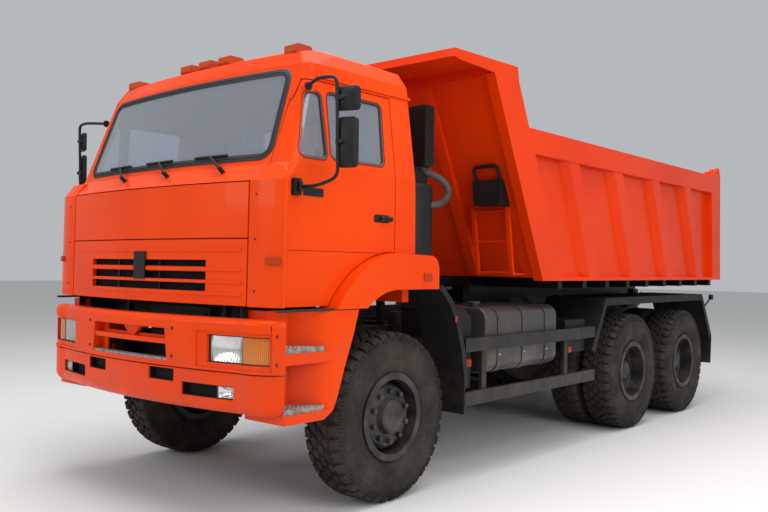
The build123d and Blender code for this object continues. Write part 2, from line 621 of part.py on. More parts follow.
door_edges = [Line((DOOR_FRONT, 1302), (DOOR_FRONT, CAB_BELT)),
              Line((DOOR_FRONT, CAB_BELT), (DOOR_TOP_Y, DOOR_TOP)),
              Line((DOOR_TOP_Y, DOOR_TOP), (DOOR_REAR, DOOR_TOP)),
              Line((DOOR_REAR, DOOR_TOP), (DOOR_REAR, FLARE_TOP + SEAM)),
              Line((DOOR_REAR, FLARE_TOP + SEAM), (-92, FLARE_TOP + SEAM)),
              ThreePointArc((-92, FLARE_TOP + SEAM), (-357, 1561), (-634, 1302)),
              Line((-634, 1302), (DOOR_FRONT, 1302))]


def door_prism(grow, x0, x1):
    """The door's side view, grown all round, as a prism."""
    plane = Plane(origin=(x0, 0, 0), x_dir=(0, 1, 0), z_dir=(1, 0, 0))
    face = make_face(door_edges)
    if grow:
        face = offset(face, amount=grow, kind=Kind.INTERSECTION)
    return extrude(plane * face, amount=x1 - x0)


door_hole = door_prism(SEAM, DOOR_INNER - SEAM, 1400)
door_holes = [door_hole, flip(door_hole)]

roof = SHELL & above
gutter_ring = (envelope(-14) - envelope(4)) & block(-1300, 1300, -680, 330, GUTTER_Z, GUTTER_Z + 16)
roof = roof + gutter_ring
save("cab_roof", roof)

WINDSCREEN = [(-992, 2196), (992, 2196), (955, 2745), (-955, 2745)]


def window_face(outline, radius):
    """A rounded window outline on its own flat plane."""
    face = make_face(Polyline(*outline, close=True))
    return fillet(face.vertices(), radius)


def windscreen_prism(grow):
    """The windscreen opening, seen from the front, cut straight through the front wall."""
    face = window_face(WINDSCREEN, 70)
    if grow:
        face = offset(face, amount=grow)
    plane = Plane(origin=(0, -500, 0), x_dir=(1, 0, 0), z_dir=(0, -1, 0))
    return extrude(plane * face, amount=800)


LOWER_SHELL = SHELL & below
front_upper = LOWER_SHELL & block(-1300, 1300, -1300, DOOR_REAR, HOOD_TOP + SEAM / 2, 2900)
corner_zone = [block(side * (CORNER_X - 5), side * 1300, -1300, DOOR_FRONT + 4,
                     1200, DEFLECTOR_TOP + 5) for side in (-1, 1)]
corner_skin = OUTER - envelope(SKIN + 28)
for zone in corner_zone:
    front_upper = front_upper - (corner_skin & zone)
front_wall = (WALL_OUT - WALL_IN) & block(-1300, 1300, -1300, DOOR_FRONT + 70, CAB_BOTTOM, HOOD_TOP + 60)
cab_front = front_upper + front_wall - windscreen_prism(0)
for hole in door_holes:
    cab_front = cab_front - hole
cab_front = cab_front - block(-1300, 1300, DOOR_FRONT + 71, 400, 1000, CAB_BELT - 160)
save("cab_front", cab_front)


cab_back = LOWER_SHELL & block(-1300, 1300, DOOR_REAR + FIT, 400, CAB_BOTTOM, 2900)
REAR_GLASS = [(-430, 2260), (430, 2260), (430, 2620), (-430, 2620)]
cab_back = cab_back - front_prism(REAR_GLASS, 0, 400)
for hole in door_holes:
    cab_back = cab_back - hole
for side in (-1, 1):
    cab_back = cab_back - block(side * 1080, side * 1300, -100, 400, 1200, FLARE_TOP + FIT)
save("cab_back", cab_back)

glass = (OUTER - envelope(8)) & windscreen_prism(-FIT)
windscreen = glass & block(-1300, 1300, -1300, -700, 2000, 2900)
rear_glass = front_prism([(x * 0.998, z + 0.4 * (1 if z < 2400 else -1)) for x, z in REAR_GLASS], 215, 221)
save("cab_glass", group([windscreen, rear_glass]))

# ---------------------------------------------------------------- loose front panels
panel_skin = OUTER - SKIN_IN
pads = envelope(SKIN - 1) - envelope(SKIN + 26 - FIT)
hood = panel_skin & block(-PANEL_HALF, PANEL_HALF, -1300, -1000, GRILLE_TOP + 4, HOOD_TOP - 4)
hood_pads = [pads & block(side * 640, side * 760, -1300, -1000, HOOD_TOP - 40, HOOD_TOP - 8) for side in (-1, 1)]
save("hood_panel", fused([hood] + hood_pads))

SLOT_HALF = 645
SLOT_ROWS = [(1389, 1439), (1458, 1508), (1537, 1578)]
SLOT_BARS = [-284, 190]
grille = panel_skin & block(-PANEL_HALF, PANEL_HALF, -1300, -1000, CAB_BOTTOM + 2, GRILLE_TOP - 4)
for low, high in SLOT_ROWS:
    grille = grille - block(-SLOT_HALF, SLOT_HALF, -1300, -1050, low, high)
GRILLE_RIBS = [1376, 1448, 1522, 1640]
ribs = [(envelope(-6) - envelope(2)) & block(-935, 935, -1300, -1050, z - 9, z + 9) for z in GRILLE_RIBS]
bars = [(envelope(12) - envelope(24)) & block(x - 9, x + 9, -1300, -1050, 1360, 1590) for x in SLOT_BARS]
badge = (envelope(-14) - envelope(-6 - FIT)) & block(-62, 62, -1300, -1100, 1452, 1628)
grille_pads = [pads & block(side * 700, side * 780, -1300, -1000, z, z + 50) for side in (-1, 1)
               for z in (1330, 1640)]
save("grille_panel", group([fused([grille] + ribs + bars + grille_pads), badge]))

VANE_OUT = 1236            # the vane's outer edge, from the centre line
VANE_IN = 985
VANE_T = 24


def vane_plan(front, inset):
    """The corner vane's curved line at one level, set in by a distance."""
    start = front + FRONT_SAG * (VANE_IN / SWEEP_X) ** 2 + inset
    return ThreePointArc((VANE_IN, start), (1125, start + 8), (VANE_OUT - 0.3 * inset, start + 48))


def vane(outer, inner):
    """The vane between two insets, from the sill up, leaning back with the cab above the front lid."""
    levels = []
    for height, front in ((CAB_BOTTOM, -1172), (HOOD_TOP, -1164), (DEFLECTOR_TOP, -1098)):
        out_line, in_line = vane_plan(front, outer), vane_plan(front, inner)
        ends = [Line(out_line @ 1, in_line @ 1), Line(in_line @ 0, out_line @ 0)]
        levels.append(Plane.XY.offset(height) * make_face([out_line, ends[0], in_line, ends[1]]))
    return loft(levels, ruled=True)


vane_outline = front_prism([(VANE_IN, 1300), (1300, 1300), (1300, 2040), (1225, 2040), (1205, 2095), (1165, 2131),
                            (VANE_IN, 2131)], -1300, -900)
vane_pads = [block(1012, 1056, -1085, -960, z, z + 50) - envelope(SKIN + 26 - FIT) for z in (1400, 1700, 1960)]
save("corner_deflectors", pair(fused([vane(0, VANE_T) & vane_outline] + vane_pads)))

# ---------------------------------------------------------------- doors
QUARTER = [(-872, 2198), (-640, 2198), (-655, 2605), (-770, 2605)]
MAIN = [(-600, 2208), (-112, 2208), (-96, 2620), (-600, 2620)]


def side_window(outline, grow, x0, x1):
    """A rounded side window seen from the side, as a prism across the door."""
    face = fillet(make_face(Polyline(*outline, close=True)).vertices(), 38)
    if grow:
        face = offset(face, amount=grow)
    plane = Plane(origin=(x0, 0, 0), x_dir=(0, 1, 0), z_dir=(1, 0, 0))
    return extrude(plane * face, amount=x1 - x0)


door = LOWER_SHELL & door_prism(0, DOOR_INNER, 1400)
for outline in (QUARTER, MAIN):
    door = door - side_window(outline, 0, 900, 1400)
handle = block(CAB_HALF - 2, CAB_HALF + 22, -150, -45, 1852, 1876)
plate = block(CAB_HALF - 1, CAB_HALF + 3, -840, -680, 1968, 2012)
hinges = [block(1035, 1114, DOOR_FRONT - SEAM + FIT, DOOR_FRONT + 40, z, z + 80) for z in (1480, 1985)]
left_door = fused([door, handle, plate] + hinges)
save("left_door", left_door)
save("right_door", flip(left_door))
pane = envelope(14) - envelope(22)
panes = [pane & side_window(outline, -FIT, 900, 1400) for outline in (QUARTER, MAIN)]
save("left_door_glass", group(panes))
save("right_door_glass", flip(group(panes)))


def mirrors():
    """Two mirror heads on a bent arm, clamped to the door's belt and its upper front corner."""
    arm = bent_tube([(1118, -770, 2630), (1290, -850, 2640), (1420, -830, 2640), (1420, -800, 2060),
                     (1320, -880, 2010), (CAB_HALF + FIT + 2, -905, 2010)], 40, 11)
    base = block(CAB_HALF + FIT, CAB_HALF + 30, -940, -880, 1960, 2060)
    upper_head = Pos(1460, -785, 2514) * Rot(0, 0, 20) * fillet(Box(150, 46, 142).edges().filter_by(Axis.Y), 24)
    lower_head = Pos(1460, -782, 2262) * Rot(0, 0, 20) * fillet(Box(125, 52, 292).edges().filter_by(Axis.Y), 26)
    return fused([arm, base, upper_head, lower_head])


save("left_mirrors", mirrors())
save("right_mirrors", flip(mirrors()))

# ---------------------------------------------------------------- cab floor and inside
FLOOR_HALF = 1092
FLOOR_T = 40
floor_line = [(-1140, CAB_BOTTOM + 2), (-650, CAB_BOTTOM + 2), (-560, 1420), (CAB_BACK - CAB_WALL - FIT, 1420)]
floor = side_prism(strip(floor_line, FLOOR_T), -FLOOR_HALF, FLOOR_HALF)
floor = floor & envelope(CAB_WALL + FIT)
floor = floor - ((OUTER - envelope(SKIN + 72 + FIT)) & block(-1300, 1300, -1300, DOOR_FRONT + 72, 1200, 1500))
arm_line = [(CAB_TILT_Y, CAB_TILT_Z), (-955, 1020), (-900, 1080), (-880, CAB_BOTTOM + 3)]
arms = []
for side in (-1, 1):
    x = side * 546
    arm = side_prism(strip([(y, z - 24) for y, z in arm_line[:2]] + [(y + 18, z) for y, z in arm_line[2:]], 48),
                     x - 15, x + 15)
    boss = rod((x - 15, CAB_TILT_Y, CAB_TILT_Z), (x + 15, CAB_TILT_Y, CAB_TILT_Z), 42)
    pin = rod((side * 474, CAB_TILT_Y, CAB_TILT_Z), (x + side * 14, CAB_TILT_Y, CAB_TILT_Z), 20)
    arms += [arm, boss, pin]
save("cab_floor", fused([floor] + arms))

DASH_HALF = 1020
dash = side_prism([(-1300, 1690), (-790, 1760), (-745, 1930), (-800, 2120), (-900, 2160), (-1300, 2160)],
                  -DASH_HALF, DASH_HALF)
dash = dash & envelope(SKIN + 72 + FIT)
hooded = side_prism([(-900, 2150), (-900, 2215), (-800, 2195), (-790, 2110)], 330, 800)

SEAT_FLOOR = 1420 + FLOOR_T + FIT
SEATS = [  # middle, half width
    (590, 265),
    (-520, 300),
]
seat_solids = []
for middle, half in SEATS:
    base = block(middle - half + 60, middle + half - 60, -420, 0, SEAT_FLOOR, 1701)
    cushion = fillet(block(middle - half, middle + half, -500, 30, 1700, 1830).edges(), 30)
    back_rest = side_prism([(-60, 1790), (10, 2440), (70, 2450), (100, 2400), (60, 1790)],
                           middle - half + 10, middle + half - 10)
    head = fillet(block(middle - 130, middle + 130, 0, 90, 2440, 2620).edges(), 24)
    seat_solids.append(fused([base, cushion, back_rest, head]))
save("seats", group(seat_solids))

WHEEL_CENTRE = (590, -600, 2120)
hand_wheel = Torus(225, 16) + Cylinder(62, 34)
for angle in (0, 120, 240):
    spoke = Rot(0, 0, angle + 90) * Pos(130, 0, 0) * Box(200, 34, 12)
    hand_wheel = hand_wheel + spoke
column = Pos(0, 0, -230) * Cylinder(38, 440)
tilt = Pos(*WHEEL_CENTRE) * Rot(-28, 0, 0)
steering = (tilt * (hand_wheel + column)) - side_prism([(-1300, 1500), (-790, 1760), (-744, 1930),
                                                        (-799, 2121), (-1300, 2300)], 300, 900)
save("dashboard", group([dash + hooded, steering]))

# ---------------------------------------------------------------- flares, wipers, lamps on the cab
FLARE_OUT = 1258
FLARE_BACK = 380
FLARE_FRONT = -625
flare_edges = [
    Line((-355, 1292), (FLARE_FRONT, 1292)),
    ThreePointArc((FLARE_FRONT, 1292), (-352, 1555), (-90, FLARE_TOP)),
    Line((-90, FLARE_TOP), (290, FLARE_TOP - 8)),
    ThreePointArc((290, FLARE_TOP - 8), (352, FLARE_TOP - 36), (FLARE_BACK, FLARE_TOP - 96)),
    Line((FLARE_BACK, FLARE_TOP - 96), (FLARE_BACK, 1404)),
    Line((FLARE_BACK, 1404), (-60, 1404)),
    ThreePointArc((-60, 1404), (-215, 1374), (-355, 1292)),
]
flare = side_face(flare_edges, FLOOR_HALF + FIT, FLARE_OUT)
save("wheel_flares", pair(flare))

def front_y(x, z):
    """The cab's front surface at a place across and a height."""
    for low, high in zip(CAB_SECTIONS, CAB_SECTIONS[1:]):
        if low[0] <= z <= high[0]:
            share = (z - low[0]) / (high[0] - low[0])
            return low[1] + share * (high[1] - low[1]) + FRONT_SAG * (x / SWEEP_X) ** 2
    raise ValueError("height off the cab")


WIPER_PIVOTS = [-335, 167, 692]
WIPER_FOOT_Z = 2108
BLADE_Z = 2222
wiper_solids = []
for x in WIPER_PIVOTS:
    foot = front_y(x, WIPER_FOOT_Z)
    top = (x, foot - 30, WIPER_FOOT_Z + 24)
    middle = (x - 190, front_y(x - 190, BLADE_Z) - 14, BLADE_Z)
    shaft = rod((x, foot + 40, WIPER_FOOT_Z - 32), top, 14) - envelope(-FIT)
    blade = rod((x - 330, front_y(x - 330, BLADE_Z) - 12, BLADE_Z), (x - 40, front_y(x - 40, BLADE_Z) - 12, BLADE_Z), 8)
    wiper_solids.append(fused([shaft, rod(top, middle, 9), blade, Pos(*top) * Sphere(15)]))
save("wipers", group(wiper_solids))

ROOF_LAMPS = [-880, -215, 0, 215, 880]
lamp_pods = []
for x in ROOF_LAMPS:
    drop = 30 * (abs(x) / 900) ** 2
    pod = fillet(block(x - 55, x + 55, -700, -560, 2900 - drop, 2966 - drop).edges().filter_by(Axis.X), 22)
    lamp_pods.append(pod - envelope(-FIT))

corner_marker = vane(-18, -FIT) & block(1140, 1222, -1200, -1000, 1556, 1596)
marker_solids = [corner_marker, block(FLARE_OUT + FIT, FLARE_OUT + 10, 205, 290, 1462, 1512)]
save("cab_lamps", group(lamp_pods + [pair(marker) for marker in marker_solids]))

# ---------------------------------------------------------------- mudguards, side guards
guard_line = [(402, 1392), (432, 1378), (530, 1285), (610, 1140), (670, 960), (706, 780), (714, 690), (706, 495)]
guard = side_prism(strip(guard_line, 10), 905, 1248)
guard_lip = side_prism(strip(guard_line[:7], 46), 1240, 1248)
guard_arm = rod((RAIL_OUT + FIT, 640, 1010), (910, 640, 1010), 22)
front_mud = fused([guard, guard_lip, guard_arm])

rear_line = [(2715, 830), (2990, 1290), (5470, 1290), (5790, 800), (5765, 470)]
rear_guard = side_prism(strip(rear_line, -10), 622, 1246)
rear_lips = [side_prism(strip(line, -70), 1238, 1246) for line in (rear_line[:3], rear_line[1:4])]
rear_arms = []
for y in (3150, BOGIE_MIDDLE, 5200):
    rear_arms.append(block(RAIL_OUT + FIT, RAIL_OUT + 30, y - 45, y + 45, 1105, 1185))
    rear_arms.append(rod((RAIL_OUT + 20, y, 1146), (640, y, 1284), 22))
stalk = rod((1236, 5560, 1140), (1282, 5640, 1240), 9)
stalk_lamp = Pos(1284, 5650, 1252) * fillet(Box(36, 60, 60).edges().filter_by(Axis.X), 18)
rear_mud = fused([rear_guard] + rear_lips + rear_arms + [stalk, stalk_lamp])
save("mudguards", group([pair(front_mud), pair(rear_mud)]))

GUARD_ROWS = [(940, 1038), (550, 648)]
GUARD_POSTS = [1010, 2275]
guard_bars = [block(1216, 1246, 730, 2765, low, high) for low, high in GUARD_ROWS]
guard_posts = [block(1190, 1217, y - 30, y + 30, 560, 1030) for y in GUARD_POSTS]
guard_arms = [block(RAIL_OUT + FIT, 1191, y - 22, y + 22, 955, 1000) for y in GUARD_POSTS]
save("side_guards", pair(fused(guard_bars + guard_posts + guard_arms)))

# ---------------------------------------------------------------- tank, boxes, air, intake
TANK_Y = (1075, 2165)
tank_face = fillet(make_face(Polyline((545, 745), (1185, 745), (1185, 1250), (545, 1250), close=True)).vertices(), 95)
tank_plane = Plane(origin=(0, TANK_Y[1], 0), x_dir=(1, 0, 0), z_dir=(0, -1, 0))
tank = extrude(tank_plane * tank_face, amount=TANK_Y[1] - TANK_Y[0])
tank = fillet(tank.faces().sort_by(Axis.Y)[0].edges() + tank.faces().sort_by(Axis.Y)[-1].edges(), 16)
strap_face = offset(tank_face, amount=7)
straps = []
for y in (1260, 1620, 1980):
    band_plane = Plane(origin=(0, y + 26, 0), x_dir=(1, 0, 0), z_dir=(0, -1, 0))
    straps.append(extrude(band_plane * strap_face, amount=52))
    straps.append(block(RAIL_OUT + FIT, 560, y - 24, y + 24, 800, 1060))
cap = Pos(1000, 1180, 1265) * Cylinder(48, 50)
save("fuel_tank", fused([tank] + straps + [cap]))

battery_face = [(RAIL_OUT + 190, 655), (1148, 655), (1148, 1180), (1085, 1245), (RAIL_OUT + 190, 1245)]
battery = front_prism(battery_face, 748, 930)
battery_bracket = block(RAIL_OUT + FIT, RAIL_OUT + 191, 790, 880, 840, 1040)
small_box = fillet(block(700, 1180, 2330, 2690, 812, 1110).edges().filter_by(Axis.Y), 30)
box_bracket = block(RAIL_OUT + FIT, 701, 2450, 2570, 860, 1040)
save("equipment_boxes", group([battery + battery_bracket, small_box + box_bracket]))

air_tanks = []
for x, z in ((700, 880), (1010, 880)):
    air_tanks.append(fillet(rod((-x, 1120, z), (-x, 2120, z), 140).edges(), 40))
tank_bracket = [block(-860, -RAIL_OUT - FIT, y - 25, y + 25, 985, 1040) for y in (1300, 1900)]
tank_link = [block(-1000, -700, y - 25, y + 25, 860, 1040) for y in (1300, 1900)]
silencer = fillet(rod((-860, 2320, 900), (-860, 2690, 900), 190).edges(), 40)
silencer_bracket = block(-700, -RAIL_OUT - FIT, 2450, 2550, 880, 1000)
save("air_tanks_silencer", group([fused(air_tanks + tank_bracket + tank_link), fused([silencer, silencer_bracket])]))

shelf = block(RAIL_IN, 1060, 440, 800, 1392, 1412)
shelf_posts = [block(RAIL_IN + 10, RAIL_OUT - 10, y - 20, y + 20, RAIL_TOP + FIT, 1393) for y in (480, 760)]
cleaner = Pos(800, 610, 1790) * fillet(Cylinder(170, 760).edges(), 24)
duct = block(700, 900, 540, 690, 2160, 2300)
stack = block(790, 980, 553, 656, 2295, 2745)
stack_fins = [block(784, 986, 547, 662, z, z + 9) for z in range(2312, 2735, 20)]
save("air_intake", fused([shelf] + shelf_posts + [cleaner, duct, stack] + stack_fins))

tail_bar = block(-600, 600, RAIL_REAR + FIT, RAIL_REAR + 30, 868, 950)
tail_bar = tail_bar - block(-130, 130, RAIL_REAR - 60, RAIL_REAR + 40, 760, 1020)
tail_lamps = [fillet(block(side * 350, side * 600, RAIL_REAR + 29, RAIL_REAR + 75, 855, 963).edges(), 8)
              for side in (-1, 1)]
tail_halves = []
for lamp, side in zip(tail_lamps, (-1, 1)):
    tail_halves.append((tail_bar & block(side * 5, side * 700, 5000, 6000, 700, 1100)) + lamp)
save("chassis_lamps", group(front_lamp_solids + tail_halves))

# ---------------------------------------------------------------- tipping body
SHEET_IN = BED_PANEL - BED_SHEET
FLOOR_FRONT = FRONT_POST_Y + 74
RIB_LOW = BED_LIP_Z + 32
POST_TOP = 3031
BED_FLOOR_REAR = 5984
BEARER_COUNT = 9
BEARER_FIRST = 2200        # clear of the hoist's upper eye
BEARER_PITCH = 460


def lean_y(z):
    """The front wall's station at a height."""
    return FRONT_POST_Y - (z - BED_LIP_Z) * LEAN


def bed_side():
    """One side: sheet, top rail, lip, leaning front post, ribs and rear post with a hinge ear."""
    sheet = side_prism([(FRONT_POST_Y + 20, BED_LIP_Z), (lean_y(POST_TOP) + 20, POST_TOP),
                        (lean_y(POST_TOP) + POST_DEPTH - 20, POST_TOP), (1500, BED_RAIL_TOP - 5),
                        (5800, BED_RAIL_TOP - 5), (5800, BED_LIP_Z)], SHEET_IN, BED_PANEL)
    post = side_prism([(FRONT_POST_Y, BED_LIP_Z), (lean_y(POST_TOP), POST_TOP),
                       (lean_y(POST_TOP) + POST_DEPTH, POST_TOP), (FRONT_POST_Y + POST_DEPTH, BED_LIP_Z)],
                      SHEET_IN, BED_HALF)
    top_rail = block(SHEET_IN, BED_HALF, 1480, 5760, BED_RAIL_LOW, BED_RAIL_TOP)
    lip = block(SHEET_IN, BED_HALF, FRONT_POST_Y + 10, 5800, BED_LIP_Z, RIB_LOW)
    rear_post = side_prism([(5773, BED_LIP_Z), (BED_REAR, BED_LIP_Z), (BED_REAR - 30, 2735),
                            (5700, 2735)], SHEET_IN, BED_HALF)
    ear = side_prism([(5900, 2734), (GATE_PIVOT_Y - 30, GATE_PIVOT_Z + 42), (GATE_PIVOT_Y + 30, GATE_PIVOT_Z + 42),
                      (GATE_PIVOT_Y + 45, GATE_PIVOT_Z), (GATE_PIVOT_Y - 20, 2690), (5960, 2690)], 1196, 1226)
    bore = rod((1100, GATE_PIVOT_Y, GATE_PIVOT_Z), (1300, GATE_PIVOT_Y, GATE_PIVOT_Z), 21)
    ribs = []
    for i in range(RIB_COUNT):
        y = RIB_FIRST + i * RIB_PITCH
        shift = RIB_LEAN * (BED_RAIL_LOW - RIB_LOW)
        foot = [(y, BED_RAIL_LOW), (y + RIB_WIDTH, BED_RAIL_LOW), (y + RIB_WIDTH + shift, RIB_LOW), (y + shift, RIB_LOW)]
        crest = [(y + 70, BED_RAIL_LOW), (y + RIB_WIDTH - 70, BED_RAIL_LOW),
                 (y + RIB_WIDTH + shift - 70, RIB_LOW), (y + shift + 70, RIB_LOW)]
        faces = []
        for x, outline in ((BED_PANEL - 1, foot), (BED_HALF - 4, crest)):
            plane = Plane(origin=(x, 0, 0), x_dir=(0, 1, 0), z_dir=(1, 0, 0))
            faces.append(plane * make_face(Polyline(*outline, close=True)))
        ribs.append(loft(faces, ruled=True))
    return fused([sheet, post, top_rail, lip, rear_post, ear] + ribs) - bore


save("bed_left_side", bed_side())
save("bed_right_side", flip(bed_side()))

deck = side_prism([(FLOOR_FRONT, 1480), (FLOOR_FRONT, BED_FLOOR_TOP), (BED_FLOOR_REAR, BED_FLOOR_TOP),
                   (BED_FLOOR_REAR, 1480)], -SHEET_IN + FIT, SHEET_IN - FIT)
SILL_BASE = SUBFRAME_TOP + 6
sill_parts = []
for side in (-1, 1):
    sill_parts.append(block(side * RAIL_IN, side * (RAIL_OUT - 8), 1950, BED_PIVOT_Y, SILL_BASE, 1481))
    sill_parts.append(rod((side * RAIL_IN, BED_PIVOT_Y, BED_PIVOT_Z),
                          (side * (RAIL_OUT - 8), BED_PIVOT_Y, BED_PIVOT_Z), 78))
    sill_parts.append(block(side * RAIL_IN, side * (RAIL_OUT - 8), BED_PIVOT_Y - 1, BED_PIVOT_Y + 70, 1300, 1481))
    sill_parts.append(rod((side * (RAIL_OUT - 9), BED_PIVOT_Y, BED_PIVOT_Z),
                          (side * (RAIL_OUT + 36), BED_PIVOT_Y, BED_PIVOT_Z), 29))
sill_pads = [block(side * RAIL_IN, side * (RAIL_OUT - 8), y, y + 120, SUBFRAME_TOP + FIT, SILL_BASE + 1)
             for side in (-1, 1) for y in (2000, 3400, 4800)]
bearers = []
for i in range(BEARER_COUNT):
    y = BEARER_FIRST + i * BEARER_PITCH
    bearers.append(block(-SHEET_IN + FIT, SHEET_IN - FIT, y, y + 70, 1385, 1481))
hoist_ears = [block(side * 72, side * 96, HOIST_Y - 60, HOIST_Y + 60, HOIST_PIN_Z - 50, 1481) for side in (-1, 1)]
save("bed_floor", fused([deck] + sill_parts + sill_pads + bearers + hoist_ears))

front_sheet = side_prism([(lean_y(1480) + 50, 1480), (lean_y(POST_TOP) + 50, POST_TOP),
                          (lean_y(POST_TOP) + 72, POST_TOP), (lean_y(1480) + 72, 1480)],
                         -SHEET_IN + FIT, SHEET_IN - FIT)
STIFFENERS = [-575, 0, 575]
front_parts = [front_sheet]
for x in STIFFENERS:
    front_parts.append(side_prism([(lean_y(1500) + 4, 1500), (lean_y(3000) + 4, 3000),
                                   (lean_y(3000) + 51, 3000), (lean_y(1500) + 51, 1500)], x - 45, x + 45))
# Ladder: two stringers hung from the sheet, steeper than it, with stand-offs at the foot.
LADDER_X = (736, 1070)
LADDER_TOP = (1519, 2050)  # station and height, below the chock
LADDER_FOOT = (1612, 1495)
for x in LADDER_X:
    line = [LADDER_TOP, LADDER_FOOT, (LADDER_FOOT[0] + 24, LADDER_FOOT[1]), (lean_y(LADDER_TOP[1]) + 51, LADDER_TOP[1])]
    front_parts.append(side_prism(line, x - 16, x + 16))
    front_parts.append(block(x - 12, x + 12, LADDER_FOOT[0] + 4, lean_y(1508) + 52, 1500, 1516))
for z in (1517, 1773, 2025):
    share = (LADDER_TOP[1] - z) / (LADDER_TOP[1] - LADDER_FOOT[1])
    y = LADDER_TOP[0] + share * (LADDER_FOOT[0] - LADDER_TOP[0]) + 13
    front_parts.append(rod((LADDER_X[0], y, z), (LADDER_X[1], y, z), 10))

canopy = side_prism([(CANOPY_FRONT, 3090), (CANOPY_FRONT, 3112), (1366, CANOPY_TOP), (1366, 3112)],
                    -BED_HALF, BED_HALF)
skirt_outline = [(CANOPY_FRONT, 3111), (1366, CANOPY_TOP - 1), (1386, POST_TOP + FIT), (1037, POST_TOP + FIT),
                 (583, 3042), (CANOPY_FRONT, 3052)]
skirts = [side_prism(skirt_outline, BED_HALF - 20, BED_HALF), side_prism(skirt_outline, -BED_HALF, -BED_HALF + 20)]
canopy_lip = block(-BED_HALF, BED_HALF, CANOPY_FRONT, CANOPY_FRONT + 16, 3054, 3100)
canopy_seat = side_prism([(1080, POST_TOP + FIT), (1080, 3110), (1366, 3115), (1366, POST_TOP + FIT)],
                         -SHEET_IN, SHEET_IN)
canopy_seat = canopy_seat - side_prism([(1110, 3000), (1110, 3092), (1340, 3096), (1340, 3000)], -1150, 1150)

CHOCK_X = (826, 1087)
CHOCK_Z = (2062, 2264)
chock = side_prism([(1392, CHOCK_Z[1]), (lean_y(CHOCK_Z[1]) + 50 - FIT, CHOCK_Z[1]),
                    (lean_y(CHOCK_Z[0]) + 50 - FIT, CHOCK_Z[0]), (1402, CHOCK_Z[0])], *CHOCK_X)
chock_handle = bent_tube([(842, 1430, 2250), (842, 1374, 2374), (1071, 1374, 2374), (1071, 1430, 2250)], 40, 15)
save("bed_front_wall", group([fused(front_parts), fused([canopy, canopy_lip, canopy_seat] + skirts)]))
save("wheel_chock", chock + chock_handle)

GATE_HALF = SHEET_IN - 7
GATE_LOW = BED_FLOOR_TOP + 12
gate_sheet = block(-GATE_HALF, GATE_HALF, 5944, 5962, GATE_LOW, 2640)
gate_parts = [gate_sheet]
for z in (GATE_LOW, 1880, 2240, 2560):
    gate_parts.append(block(-GATE_HALF, GATE_HALF, 5961, 6010, z, z + 80))
for x in (-GATE_HALF, -600, -40, 520, GATE_HALF - 80):
    gate_parts.append(block(x, x + 80, 5961, 6008, GATE_LOW, 2640))
for side in (-1, 1):
    arm = side_prism([(5950, 2560), (6010, 2560), (GATE_PIVOT_Y + 38, GATE_PIVOT_Z - 20),
                      (GATE_PIVOT_Y + 25, GATE_PIVOT_Z + 34), (GATE_PIVOT_Y - 30, GATE_PIVOT_Z + 34), (5950, 2700)],
                     side * (GATE_HALF - 40), side * GATE_HALF)
    pin = rod((side * (GATE_HALF - 10), GATE_PIVOT_Y, GATE_PIVOT_Z), (side * 1236, GATE_PIVOT_Y, GATE_PIVOT_Z), 21 - FIT)
    gate_parts += [arm, pin]
save("tailgate", fused(gate_parts))

# ---------------------------------------------------------------- telescopic hoist
STAGE_COUNT = 4
STAGE_WALL = 8
STAGE_GAP = FIT
STAGE_TOP = 1316
STAGE_BOTTOM = 762
barrel_tube = rod((0, HOIST_Y, STAGE_BOTTOM - 12), (0, HOIST_Y, STAGE_TOP), HOIST_R)
barrel_bore = rod((0, HOIST_Y, STAGE_BOTTOM - 2), (0, HOIST_Y, STAGE_TOP + 10), HOIST_R - STAGE_WALL)
trunnions = rod((-148, HOIST_Y, HOIST_BASE_Z), (148, HOIST_Y, HOIST_BASE_Z), 25)
save("hoist_barrel", barrel_tube + trunnions - barrel_bore)
for i in range(STAGE_COUNT):
    outer_r = HOIST_R - (i + 1) * (STAGE_WALL + STAGE_GAP)
    top = STAGE_TOP + 8 * (i + 1)
    stage = rod((0, HOIST_Y, STAGE_BOTTOM), (0, HOIST_Y, top), outer_r)
    if i < STAGE_COUNT - 1:
        stage = stage - rod((0, HOIST_Y, STAGE_BOTTOM - 5), (0, HOIST_Y, top + 5), outer_r - STAGE_WALL)
    else:
        eye = rod((-54, HOIST_Y, HOIST_PIN_Z), (54, HOIST_Y, HOIST_PIN_Z), 40)
        neck = rod((0, HOIST_Y, top - 1), (0, HOIST_Y, HOIST_PIN_Z - 10), 38)
        pin = rod((-70, HOIST_Y, HOIST_PIN_Z), (70, HOIST_Y, HOIST_PIN_Z), HOIST_PIN_R)
        stage = stage + neck + eye + pin
    save(f"hoist_stage_{i + 1}", stage)
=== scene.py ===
import math
import bpy
import bmesh
from mathutils import Matrix, Vector
from mathutils.bvhtree import BVHTree


